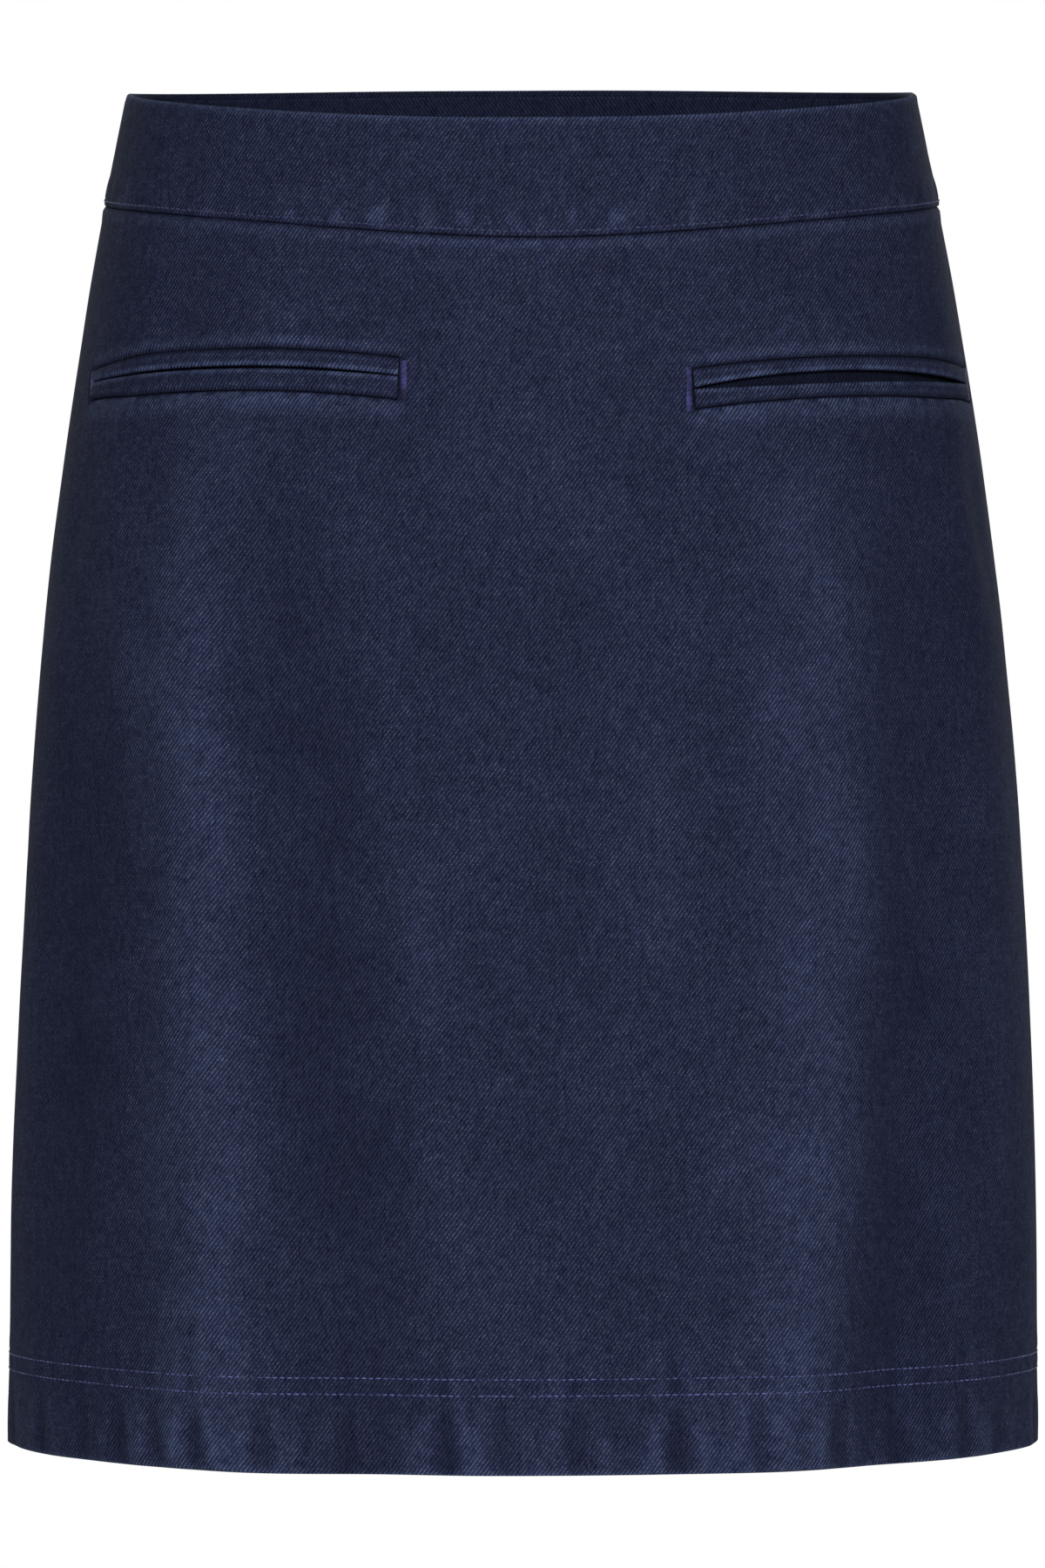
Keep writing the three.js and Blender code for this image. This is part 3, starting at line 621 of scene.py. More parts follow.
def denim(name, look, reverse=False):
    material, tree, shader = newFinish(name)
    place = addNode(tree, "ShaderNodeUVMap", uv_map="cloth")
    counts = addNode(tree, "ShaderNodeVectorMath", {0: place.outputs["UV"], 1: (
        1 / (look["endPitch"] * mm), 1 / (look["pickPitch"] * mm), 0)}, operation="MULTIPLY")
    cell = addNode(tree, "ShaderNodeVectorMath", {0: counts.outputs[0]}, operation="FLOOR")
    inside = addNode(tree, "ShaderNodeVectorMath", {0: counts.outputs[0]}, operation="FRACTION")
    cellParts = addNode(tree, "ShaderNodeSeparateXYZ", {0: cell.outputs[0]})
    insideParts = addNode(tree, "ShaderNodeSeparateXYZ", {0: inside.outputs[0]})

    # Each crossing's place in the repeat of four, from pick minus end: the weft is on top in one of the four.
    step = addNode(tree, "ShaderNodeMath", {0: cellParts.outputs[1], 1: cellParts.outputs[0]}, operation="SUBTRACT")
    quarter = addNode(tree, "ShaderNodeMath", {0: step.outputs[0], 1: 0.25, 2: 0.125}, operation="MULTIPLY_ADD")
    phase = addNode(tree, "ShaderNodeMath", {0: quarter.outputs[0]}, operation="FRACT")
    weft = addNode(tree, "ShaderNodeMath", {0: phase.outputs[0], 1: 0.25},
                   operation="GREATER_THAN" if reverse else "LESS_THAN")

    # Rounded threads: a sine across each end and each pick.
    warpRound = addNode(tree, "ShaderNodeMath", {0: insideParts.outputs[0], 1: np.pi}, operation="MULTIPLY")
    warpRound = addNode(tree, "ShaderNodeMath", {0: warpRound.outputs[0]}, operation="SINE")
    weftRound = addNode(tree, "ShaderNodeMath", {0: insideParts.outputs[1], 1: np.pi}, operation="MULTIPLY")
    weftRound = addNode(tree, "ShaderNodeMath", {0: weftRound.outputs[0]}, operation="SINE")
    weftShown = addNode(tree, "ShaderNodeMath", {0: weft.outputs[0], 1: weftRound.outputs[0]}, operation="MULTIPLY")

    # Uneven spinning and dyeing: streaks along the ends and picks, and a random strength for each dash.
    endStreaks = addNode(tree, "ShaderNodeVectorMath", {0: cell.outputs[0], 1: (0.7, 0.045, 0)}, operation="MULTIPLY")
    endStreaks = addNode(tree, "ShaderNodeTexNoise", {"Vector": endStreaks.outputs[0], "Scale": 1, "Detail": 2})
    pickStreaks = addNode(tree, "ShaderNodeVectorMath", {0: cell.outputs[0], 1: (0.014, 0.6, 0)},
                          operation="MULTIPLY")
    pickStreaks = addNode(tree, "ShaderNodeTexNoise", {"Vector": pickStreaks.outputs[0], "Scale": 1, "Detail": 2})
    speck = addNode(tree, "ShaderNodeTexWhiteNoise", {"Vector": cell.outputs[0]}, noise_dimensions="2D")
    speckMix = addNode(tree, "ShaderNodeMath", {0: speck.outputs["Value"], 1: pickStreaks.outputs[0]},
                       operation="MULTIPLY")
    # The weft shows more in patches a few millimetres across, more on worn places, and less where painted shade
    # darkens the hollows.
    here = addNode(tree, "ShaderNodeTexCoord")
    grain = addNode(tree, "ShaderNodeTexNoise", {"Vector": here.outputs["Object"], "Scale": 300, "Detail": 5,
                                                 "Roughness": 0.8})
    patches = addNode(tree, "ShaderNodeMapRange", {"Value": grain.outputs[0], "From Min": 0.34, "From Max": 0.66})
    heather = addNode(tree, "ShaderNodeMapRange", {"Value": patches.outputs[0], "To Min": 1 - look["heather"],
                                                   "To Max": 1 + look["heather"]})
    speckMix = addNode(tree, "ShaderNodeMath", {0: speckMix.outputs[0], 1: heather.outputs[0]}, operation="MULTIPLY")
    wearAndShade = addNode(tree, "ShaderNodeAttribute", attribute_name="wearAndShade")
    baringAndShading = addNode(tree, "ShaderNodeMapRange", {"Value": wearAndShade.outputs["Fac"], "From Min": -0.25, "From Max": 0.25,
                                                  "To Min": 0.5, "To Max": 1.4})
    speckMix = addNode(tree, "ShaderNodeMath", {0: speckMix.outputs[0], 1: baringAndShading.outputs[0]}, operation="MULTIPLY",
                       use_clamp=True)

    def mixed(factor, one, two, blend="MIX"):
        node = addNode(tree, "ShaderNodeMix", data_type="RGBA", blend_type=blend)
        for socket, value in ((node.inputs[0], factor), (node.inputs[6], one), (node.inputs[7], two)):
            if isinstance(value, bpy.types.NodeSocket):
                tree.links.new(value, socket)
            else:
                socket.default_value = value
        return node.outputs[2]

    # The warp's tone: the streaks, the patches, each float's own, and painted shade at each float's ends, where it
    # dips into the weave, which draws the diagonal.
    floatEndShade = addNode(tree, "ShaderNodeSeparateXYZ", {0: counts.outputs[0]})
    floatEndShade = addNode(tree, "ShaderNodeMath", {0: floatEndShade.outputs[1], 1: floatEndShade.outputs[0]}, operation="SUBTRACT")
    floatEndShade = addNode(tree, "ShaderNodeMath", {0: floatEndShade.outputs[0], 1: 0.25, 2: 0.6}, operation="MULTIPLY_ADD")
    floatEndShade = addNode(tree, "ShaderNodeMath", {0: floatEndShade.outputs[0], 1: 0.5}, operation="PINGPONG")
    warpTone = addNode(tree, "ShaderNodeMapRange", {"Value": endStreaks.outputs[0], "From Min": 0.2, "From Max": 0.8,
                                                    "To Min": -0.18, "To Max": 0.1})
    warpTone = addNode(tree, "ShaderNodeMath", {0: patches.outputs[0], 1: 0.2, 2: warpTone.outputs[0]},
                       operation="MULTIPLY_ADD")
    float_ = addNode(tree, "ShaderNodeMath", {0: quarter.outputs[0]}, operation="FLOOR")
    float_ = addNode(tree, "ShaderNodeCombineXYZ", {"X": cellParts.outputs[0], "Y": float_.outputs[0]})
    float_ = addNode(tree, "ShaderNodeTexWhiteNoise", {"Vector": float_.outputs[0]}, noise_dimensions="2D")
    warpTone = addNode(tree, "ShaderNodeMath", {0: float_.outputs["Value"], 1: 0.3, 2: warpTone.outputs[0]},
                       operation="MULTIPLY_ADD")
    warpTone = addNode(tree, "ShaderNodeMath", {0: floatEndShade.outputs[0], 1: 0.8, 2: warpTone.outputs[0]},
                       operation="MULTIPLY_ADD")
    warpColour = mixed(warpTone.outputs[0], colour(look["warpDark"]), colour(look["warpPale"]))
    # Some picks are greyer and some bluer, over lengths of a few dashes.
    hue = addNode(tree, "ShaderNodeVectorMath", {0: cell.outputs[0], 1: (0.19, 0.45, 0)}, operation="MULTIPLY")
    hue = addNode(tree, "ShaderNodeTexNoise", {"Vector": hue.outputs[0], "Scale": 1, "Detail": 1})
    hue = addNode(tree, "ShaderNodeMapRange", {"Value": hue.outputs[0], "From Min": 0.38, "From Max": 0.62})
    weftTone = mixed(hue.outputs[0], colour(look["weftGrey"]), colour(look["weftBlue"]))
    weftColour = mixed(speckMix.outputs[0], colour(look["weftDark"]), weftTone)
    base = mixed(weftShown.outputs[0], warpColour, weftColour)

    # Mottling of the dye over patches a centimetre across, in the piece's own coordinates.
    mottle = addNode(tree, "ShaderNodeTexNoise", {"Vector": here.outputs["Object"], "Scale": 70, "Detail": 5,
                                                  "Roughness": 0.62})
    lift = addNode(tree, "ShaderNodeMapRange", {"Value": mottle.outputs[0], "From Min": 0.3, "From Max": 0.7,
                                                "To Min": 1 - look["mottle"], "To Max": 1 + look["mottle"]})
    base = mixed(1, base, lift.outputs[0], "MULTIPLY")

    # Wear, where the shape says, broken up at the size of a few threads: it bares the threads' pale cores. Below
    # zero the attribute is painted shade: the colour is darkened in the hollows of folds and puckers, in seam
    # ditches, at the pocket slits and mouths, and inside the band.
    grainParts = addNode(tree, "ShaderNodeMapRange", {"Value": grain.outputs[0], "From Min": 0.3, "From Max": 0.65})
    worn = addNode(tree, "ShaderNodeMath", {0: wearAndShade.outputs["Fac"], 1: grainParts.outputs[0]}, operation="MULTIPLY",
                   use_clamp=True)
    bared = mixed(weftShown.outputs[0], colour(look["wornWarp"]), colour(look["wornWeft"]))
    base = mixed(worn.outputs[0], base, bared)
    # Painted shade: where the attribute is below zero the colour is darkened, down to a quarter.
    paintedShade = addNode(tree, "ShaderNodeMapRange", {"Value": wearAndShade.outputs["Fac"], "From Min": -1, "From Max": 0,
                                                "To Min": 0.25})
    base = mixed(1, base, paintedShade.outputs[0], "MULTIPLY")

    # Relief: warp floats stand over the weft, both rounded.
    high = addNode(tree, "ShaderNodeMath", {0: warpRound.outputs[0], 1: 0.7, 2: 0.3}, operation="MULTIPLY_ADD")
    low = addNode(tree, "ShaderNodeMath", {0: weftRound.outputs[0], 1: 0.6}, operation="MULTIPLY")
    relief = addNode(tree, "ShaderNodeMix", {0: weft.outputs[0], 2: high.outputs[0], 3: low.outputs[0]})
    fuzz = addNode(tree, "ShaderNodeTexNoise", {"Vector": here.outputs["Object"], "Scale": 1500, "Detail": 2})
    relief = addNode(tree, "ShaderNodeMath", {0: fuzz.outputs[0], 1: 0.5, 2: relief.outputs[0]},
                     operation="MULTIPLY_ADD")
    bump = addNode(tree, "ShaderNodeBump", {"Strength": 0.55, "Distance": look["thread"] * mm,
                                            "Height": relief.outputs[0]})
    tree.links.new(base, shader.inputs["Base Color"])
    tree.links.new(bump.outputs[0], shader.inputs["Normal"])
    shader.inputs["Roughness"].default_value = look["roughness"]
    shader.inputs["Specular IOR Level"].default_value = 0.12
    shader.inputs["Sheen Weight"].default_value = look["sheen"]
    shader.inputs["Sheen Roughness"].default_value = look["sheenRoughness"]
    shader.inputs["Sheen Tint"].default_value = colour(look["sheenTint"])
    return material


# Polyester sewing thread, 0.4 mm, two plies: a fine twist and a slight gloss.
def thread(name, dark, pale, patches=700):
    material, tree, shader = newFinish(name)
    here = addNode(tree, "ShaderNodeTexCoord")
    tone = addNode(tree, "ShaderNodeTexNoise", {"Vector": here.outputs["Object"], "Scale": patches, "Detail": 2})
    place = addNode(tree, "ShaderNodeUVMap", uv_map="cloth")
    twist = addNode(tree, "ShaderNodeTexWave", {"Vector": place.outputs[0], "Scale": 1.6, "Distortion": 0.4},
                    bands_direction="DIAGONAL")
    ramp = addNode(tree, "ShaderNodeValToRGB", {0: tone.outputs[0]})
    ramp.color_ramp.elements[0].position, ramp.color_ramp.elements[1].position = 0.35, 0.66
    ramp.color_ramp.elements[0].color, ramp.color_ramp.elements[1].color = colour(dark), colour(pale)
    bump = addNode(tree, "ShaderNodeBump", {"Strength": 0.4, "Distance": 0.00006, "Height": twist.outputs["Fac"]})
    tree.links.new(ramp.outputs[0], shader.inputs["Base Color"])
    tree.links.new(bump.outputs[0], shader.inputs["Normal"])
    shader.inputs["Roughness"].default_value = 0.5
    shader.inputs["Sheen Weight"].default_value = 0.1
    return material


# Plain-woven polycotton pocketing, 0.45 mm threads one over one, drawn at their real size.
def plainWeave(name, look):
    material, tree, shader = newFinish(name)
    place = addNode(tree, "ShaderNodeUVMap", uv_map="cloth")
    turns = addNode(tree, "ShaderNodeVectorMath", {0: place.outputs[0], 1: (
        np.pi / (look["pitch"] * mm), np.pi / (look["pitch"] * mm), 0)}, operation="MULTIPLY")
    waves = addNode(tree, "ShaderNodeVectorMath", {0: turns.outputs[0]}, operation="SINE")
    parts = addNode(tree, "ShaderNodeSeparateXYZ", {0: waves.outputs[0]})
    weave = addNode(tree, "ShaderNodeMath", {0: parts.outputs[0], 1: parts.outputs[1]}, operation="MULTIPLY")
    height = addNode(tree, "ShaderNodeMapRange", {"Value": weave.outputs[0], "From Min": -1})
    here = addNode(tree, "ShaderNodeTexCoord")
    tone = addNode(tree, "ShaderNodeTexNoise", {"Vector": here.outputs["Object"], "Scale": 160, "Detail": 5})
    share = addNode(tree, "ShaderNodeMath", {0: height.outputs[0], 1: tone.outputs[0]}, operation="MULTIPLY")
    ramp = addNode(tree, "ShaderNodeValToRGB", {0: share.outputs[0]})
    ramp.color_ramp.elements[1].position = 0.55
    ramp.color_ramp.elements[0].color, ramp.color_ramp.elements[1].color = colour(look["dark"]), colour(look["pale"])
    bump = addNode(tree, "ShaderNodeBump", {"Strength": 0.5, "Distance": 0.0001, "Height": height.outputs[0]})
    tree.links.new(ramp.outputs[0], shader.inputs["Base Color"])
    tree.links.new(bump.outputs[0], shader.inputs["Normal"])
    shader.inputs["Roughness"].default_value = 0.85
    shader.inputs["Sheen Weight"].default_value = 0.08
    return material


# Zinc die-casting under dark blue lacquer: satin, with handling marks that break up the gloss.
def lacqueredZinc(name, look):
    material, tree, shader = newFinish(name)
    here = addNode(tree, "ShaderNodeTexCoord")
    marks = addNode(tree, "ShaderNodeTexNoise", {"Vector": here.outputs["Object"], "Scale": 900, "Detail": 6})
    gloss = addNode(tree, "ShaderNodeMapRange", {"Value": marks.outputs[0], "To Min": 0.24, "To Max": 0.46})
    ramp = addNode(tree, "ShaderNodeValToRGB", {0: marks.outputs[0]})
    ramp.color_ramp.elements[0].color, ramp.color_ramp.elements[1].color = colour(look["dark"]), colour(look["pale"])
    bump = addNode(tree, "ShaderNodeBump", {"Strength": 0.15, "Distance": 0.00003, "Height": marks.outputs[0]})
    tree.links.new(ramp.outputs[0], shader.inputs["Base Color"])
    tree.links.new(gloss.outputs[0], shader.inputs["Roughness"])
    tree.links.new(bump.outputs[0], shader.inputs["Normal"])
    shader.inputs["Metallic"].default_value = 0.5
    shader.inputs["Coat Weight"].default_value = 0.4
    shader.inputs["Coat Roughness"].default_value = 0.2
    return material


finish = {
    "denim": denim("indigoTwillDenim", denimCloth),
    "reverse": denim("indigoTwillDenimReverse", denimReverse, reverse=True),
    "pocketing": plainWeave("polycottonPocketing", {"pitch": 0.45, "dark": "#1b1f30", "pale": "#33394f"}),
    "tape": plainWeave("wovenPolyesterZipTape", {"pitch": 0.6, "dark": "#141829", "pale": "#2a3048"}),
    "hemThread": thread("indigoPolyesterThread", "#262b58", "#6f74b8", 170),
    "bandThread": thread("darkIndigoPolyesterThread", "#272d52", "#454d80"),
    "tackThread": thread("violetPolyesterThread", "#1e1e48", "#4e4e92", 300),
    "coil": thread("nylonZipCoil", "#181c2e", "#2a3048"),
    "metal": lacqueredZinc("lacqueredZincAlloy", {"dark": "#2c3242", "pale": "#4c5468"}),
}
print("finishes made")


# Body panels.
panelMesh = {"frontColumns": 1.95, "backColumns": 2.1, "hemRows": 1.5, "bodyRows": 5.2, "pocketRows": 1.7,
             "yokeRows": 2.2, "seamGap": 0.05, "topGap": 0.3}
# The fold at the hem's edge: height over it, and how far its two skins are from the cloth's face.
hemFold = rowsOf("up outer inner", [(0, -0.95, -1.45), (0.12, -0.45, -1.95), (0.45, -0.12, -2.28), (1, 0, -2.4)])


def bodyPanel(name, nodes, stops, columnStep, windows):
    columns = spacedAngles(stops, columnStep)
    hem, hemTop = cut["hem"], cut["hem"] + cut["hemDepth"]
    top = seamLevel(columns) - panelMesh["topGap"]
    level = lambda value: np.full_like(columns, value)
    lines = [np.stack([level(hem + row["up"]) for row in hemFold[:-1]])]
    lines.append(spaced(level(hem + hemFold[-1]["up"]), level(hemTop), panelMesh["hemRows"], False, False))
    lines.append(np.stack([level(hemTop), level(hemTop + 0.6)]))
    lower, upper = pocketLine(columns, "below"), pocketLine(columns, "above")
    if windows:
        lines.append(spaced(level(hemTop + 1.4), lower, panelMesh["bodyRows"], False, True))
        windowRows = [sum(map(len, lines))]
        lines.append(spaced(lower, upper, panelMesh["pocketRows"]))
        windowRows.append(sum(map(len, lines)))
        lines.append(spaced(upper, top, panelMesh["yokeRows"]))
    else:
        lines.append(spaced(level(hemTop + 1.4), level(-131), panelMesh["bodyRows"], False, False))
        lines.append(spaced(level(-131), top, 3.2, False, True))
    levels = np.concatenate(lines + [top[None]])
    angles = np.broadcast_to(columns, levels.shape)

    up = levels - hem
    rolled = [np.interp(up, [row["up"] for row in hemFold], [row[skin] for row in hemFold])
              for skin in ("outer", "inner")]
    detail = bodyDetail(angles, levels)
    outer = rolled[0] + detail * smooth(up, -0.4, 1)
    # Inside, the turned-up layer ends at the hem's top, and seam ditches of the outside aren't followed.
    hemLayer = smooth(levels, hemTop - 0.4, hemTop + 0.5)
    inner = rolled[1] + cut["cloth"] * hemLayer + behindCloth(angles, levels) * smooth(up, -0.4, 1)
    keep = None
    if windows:
        keep = np.ones((len(levels) - 1, len(columns) - 1), bool)
        middles = (columns[:-1] + columns[1:]) / 2
        for pocket in pockets:
            run = pocketRun(pocket, middles)
            keep[windowRows[0]:windowRows[1], (run > 0) & (run < 1)] = False
    wearAndShade = bodyWearAndShade(angles, levels)
    part = gridShell(offFace(angles, levels, outer), offFace(angles, levels, inner), clothPlace(angles, levels),
                     wearAndShade, keep)
    return makePiece(name, part, [finish["denim"], finish["reverse"]], nodes=nodes)


def bodyWearAndShade(angle, level):
    # Paler with wear on the crests of folds, along the hem's edge, on the ridges of its puckers, beside the stitching
    # and round the pocket mouths. Painted shade darkens the hollows of folds and puckers, the ditch under the band
    # seam and the ditches round the pocket windows.
    arc = arcAt(angle, level)
    below = seamLevel(angle) - level
    relief = foldHeight(angle, level) + bodyRelief(angle, level)
    # Paler with wear on the crests, and painted shade in the hollows of folds.
    wearAndShade = 0.04 * relief * (1 + 0.5 * uneven(arc, level, 12, 17, 23))
    pucker = hemPucker(arc, level)
    # Paler with wear along the hem's edge and on the puckers' ridges, and painted shade in the puckers' troughs.
    wearAndShade = wearAndShade + 0.55 * bell(level - cut["hem"], 1) + np.where(pucker > 0, 0.5, 0.3) * pucker
    # Paler with wear just below the band seam, and painted shade in the seam's ditch.
    wearAndShade = wearAndShade + 0.25 * bell(below - 2.6, 1.8) - 0.9 * np.exp(-np.maximum(below, 0) / 0.5)
    for pocket in pockets:
        run = pocketRun(pocket, angle)
        within = smooth(run, -0.03, 0.02) * (1 - smooth(run, 0.98, 1.03))
        line = slitLevel(pocket, np.clip(run, 0, 1))
        under = line - lipHeight(pocket, "below", np.clip(run, 0, 1)) - level
        over = level - line - lipHeight(pocket, "above", np.clip(run, 0, 1))
        ragged = smooth(uneven(arc, level, 2.6, 3.5, 27), -0.5, 0.5)
        wearAndShade = wearAndShade + within * (0.35 * bell(under - 2.8, 1.9) + 0.75 * ragged * bell(under - 0.9, 0.8))
        wearAndShade = wearAndShade + within * 0.3 * bell(over - 2.4, 1.4)
        across = np.maximum(np.maximum(over, under), 0)
        # Painted shade in the ditch round the pocket window.
        wearAndShade = wearAndShade - within * 0.9 * np.exp(-across / 0.45)
    return np.clip(wearAndShade + 0.06 * uneven(arc, level, 20, 30, 8), -1, 1)


side = cut["sideSeam"] - panelMesh["seamGap"]
pocketStops = sorted(end for pocket in pockets for end in pocketEnds(pocket))
frontPanel = bodyPanel("frontPanel", ["front_panel"], [-side, *pocketStops, side], panelMesh["frontColumns"], True)
backStops = [cut["sideSeam"] + panelMesh["seamGap"], 180 - cut["dartAngle"], 180 + cut["dartAngle"],
             360 - cut["sideSeam"] - panelMesh["seamGap"]]
backPanel = bodyPanel("backPanel", ["back_panel"], backStops, panelMesh["backColumns"], False)


# Waistband and facing. The band's outside rolls over the top edge and ends just inside, where the facing starts.
def waistband(name, nodes, angleEnds):
    columns = spacedAngles(angleEnds, 2.1)
    top, low = topLevel(columns), seamLevel(columns) - 0.08
    roll, cloth = bandForm["roll"], cut["cloth"]
    turn = np.radians([0, 18, 36, 54, 72, 90, 108, 126, 144, 162, 180])
    straight = spaced(low, top - roll - 0.3, 1.7, True, False)
    outerLevels = [straight, top - roll + roll * np.sin(turn)[:, None]]
    outerDepth = [bandDetail(columns, straight), np.broadcast_to(-roll + roll * np.cos(turn)[:, None], (11, len(columns)))]
    inRoll = roll - cloth
    innerLevels = [straight, top - roll + inRoll * np.sin(turn)[:, None]]
    innerDepth = [np.clip(outerDepth[0], -0.3, 0.3) - cloth,
                  np.broadcast_to(-roll + inRoll * np.cos(turn)[:, None], (11, len(columns)))]
    for down, ditch in ((bandForm["turnedIn"], 0.02), (bandForm["turnedIn"] + 0.3, 0.12)):
        outerLevels.append((top - roll - down)[None])
        innerLevels.append((top - roll - down)[None])
        outerDepth.append(np.full((1, len(columns)), -2 * roll + ditch))
        innerDepth.append(np.full((1, len(columns)), -2 * roll + cloth))
    outerLevels, outerDepth = np.concatenate(outerLevels), np.concatenate(outerDepth)
    innerLevels, innerDepth = np.concatenate(innerLevels), np.concatenate(innerDepth)
    angles = np.broadcast_to(columns, outerLevels.shape)
    # The worn line along the top edge, and paler blotches between the puckers of the lower edge. Painted shade
    # darkens the part of the roll turned in behind the top edge and the ditch of the lower seam.
    arc = arcAt(angles, outerLevels)
    above = outerLevels - seamLevel(angles)
    wearAndShade = 0.8 * bell(top - roll * 0.3 - outerLevels, 0.8) * (outerDepth > -roll * 1.4)
    # Painted shade on the part of the roll turned in behind the top edge.
    wearAndShade = wearAndShade - 0.45 * (outerDepth < -1.5 * roll)
    blotch = smooth(uneven(arc, outerLevels, 3.4, 8, 9), 0.1, 0.8)
    # Paler blotches between the puckers, and painted shade in the ditch of the lower seam.
    wearAndShade = wearAndShade + 0.45 * blotch * bell(above - 4.5, 4.5) - 0.7 * np.exp(-np.maximum(above, 0) / 0.3)
    corner = bell(arc + arcAt(92, 0), 14) * bell(top - outerLevels, 12)
    wearAndShade = np.clip(wearAndShade + 0.4 * corner, -1, 1)
    place = clothPlace(angles, outerLevels)
    place[..., 1] += np.where(outerDepth < -roll, 2 * (top * mm - place[..., 1]), 0)
    part = gridShell(offFace(angles, outerLevels, outerDepth), offFace(angles, innerLevels, innerDepth), place, wearAndShade)
    return makePiece(name, part, [finish["denim"], finish["reverse"]], nodes=nodes)


def bandFacing(name, nodes, angleEnds):
    columns = spacedAngles(angleEnds, 4)
    top = topLevel(columns) - bandForm["roll"] - bandForm["turnedIn"] - 0.36
    low = seamLevel(columns) - cut["facingBelowSeam"]
    levels = np.concatenate([spaced(low, top, 3.4), top[None]])
    angles = np.broadcast_to(columns, levels.shape)
    arc = arcAt(angles, levels)
    outer = np.full(levels.shape, -cut["cloth"] - 0.3)
    loose = 0.3 * uneven(arc, levels, 24, 18, 12) - 0.35 * bell(levels - low, 4)
    inner = outer - cut["cloth"] + np.minimum(loose, 0.1) + 0.14 * np.exp(-(top - levels) / 0.4)
    # Painted shade: the whole facing is darkened, as the inside of the band lies in shade; its top edge is paler with
    # wear.
    wearAndShade = 0.25 * bell(top - levels, 0.8) - 0.4
    part = gridShell(offFace(angles, levels, outer), offFace(angles, levels, inner), clothPlace(angles, levels), wearAndShade)
    return makePiece(name, part, [finish["reverse"], finish["denim"]], nodes=nodes)


facingShift = 1.2
bands, facings = {}, {}
for label, ends in (("Front", [-side, side]), ("Back", backStops)):
    node = label.lower()
    bands[node] = waistband(f"waistband{label}", [f"waistband_{node}"], ends)
    # The facing's side seams are pressed a little to the front of the band's, so neither shows through the other.
    shift = facingShift if node == "back" else -facingShift
    facingEnds = [ends[0] - shift, *ends[1:-1], ends[-1] + shift]
    facings[node] = bandFacing(f"bandFacing{label}", [f"waistband_facing_{node}"], facingEnds)


# Pockets: two folded lips in each window, and a bag behind it.
lipForm = {"proud": 0.4, "thick": 2.2, "clear": 0.14, "columns": 150, "fadeAt": 0.7}
# The seam side of a lip, from its front to its back: distance from the window's edge, and out of the cloth's face.
lipSeamSide = rowsOf("off out", [(2.8, 0.42), (1.9, 0.34), (1.2, 0.14), (0.65, -0.14), (0.2, -0.45), (0, -0.8),
                                 (0.1, -1.4), (0.6, -1.8), (1.8, -1.8)])


def pocketLip(pocket, which, name, nodes):
    # A closed profile carried along the mouth: a round fold at the slit, flat front and back, and a seam side that
    # rolls down into the ditch.
    ends = pocketEnds(pocket)
    run = np.linspace(0.002, 0.998, lipForm["columns"])
    angles = ends[0] + (ends[1] - ends[0]) * run
    sign = 1 if which == "above" else -1
    edge = np.maximum(slitHalf(pocket, run), lipForm["clear"] / 2)
    height = lipHeight(pocket, which, run) - lipForm["clear"]
    radius = lipForm["thick"] / 2
    middle = lipForm["proud"] - radius
    turn = np.radians([-90, -60, -30, 0, 30, 60, 90])
    rise = [edge + radius * (1 - np.cos(t)) for t in turn]
    out = [np.full_like(run, middle + radius * np.sin(t)) for t in turn]
    flat = 0.12 * uneven(run * 137, run * 0 + pocket["side"] * 40, 14, 20, 15)
    for share in (0.25, 0.5, 0.75):
        rise.append(edge + radius + (height - lipSeamSide[0]["off"] - edge - radius) * share)
        out.append(lipForm["proud"] + 0.12 * np.sin(np.pi * share) + flat)
    for point in lipSeamSide:
        rise.append(height - point["off"])
        out.append(np.full_like(run, point["out"]))
    rise.append((height - 1.8 + edge + radius) / 2)
    out.append(np.full_like(run, lipForm["proud"] - lipForm["thick"]))
    rise, out = np.stack(rise, 1), np.stack(out, 1)
    # The lower lip's fold sinks under the upper's, and the ends sink a little, where the tacks hold them down.
    if which == "below":
        sink = 0.7 * smooth(run, 0, 0.15) * (1 - smooth(run, 0.85, 1))
        out = out - sink[:, None] * np.exp(-((rise - edge[:, None]) / 1.5) ** 2) * (out > -1)
    out = out - 0.35 * (np.exp(-run / 0.012) + np.exp(-(1 - run) / 0.012))[:, None] * (out > -1)
    levels = slitLevel(pocket, run)[:, None] + sign * rise
    allAngles = np.broadcast_to(angles[:, None], levels.shape)
    fold = rise - edge[:, None]
    arcs = run * (pocket["outer"] - pocket["inner"])
    patchy = 0.75 + 0.35 * uneven(arcs, arcs * 0, 5, 9, 33 + len(name))[:, None]
    # Paler with wear along the fold edge and on the flat just above the seam side, and a little darker all over.
    wearAndShade = 1.1 * patchy * bell(fold - lipForm["fadeAt"], 0.9) * (out > -0.9) - 0.1
    wearAndShade = wearAndShade + 0.3 * patchy * bell(height[:, None] - rise - 2, 0.8) * (out > 0)
    # Painted shade in the ditch at the lip's seam side and along the slit's edge.
    wearAndShade = wearAndShade - 0.9 * np.exp(-np.maximum(height[:, None] - rise, 0) / 0.45) - 0.9 * np.exp(-fold / 0.3)
    place = clothPlace(allAngles, levels)
    if rise.shape[1] % 2:
        raise ValueError("a lip's profile takes an even number of points")
    part = tubes(offFace(allAngles, levels, out)[None], place[None], np.clip(wearAndShade, -1, 1)[None])
    return makePiece(name, part, [finish["denim"]], nodes=nodes, sharp=70)


bagForm = {"behind": 1.7, "paintedShade": 2.6, "layer": 0.7, "above": 11, "below": 124, "margin": 7, "seam": 5, "taper": 0.2,
           "columns": 44, "rows": 40, "mouthShade": -0.8}


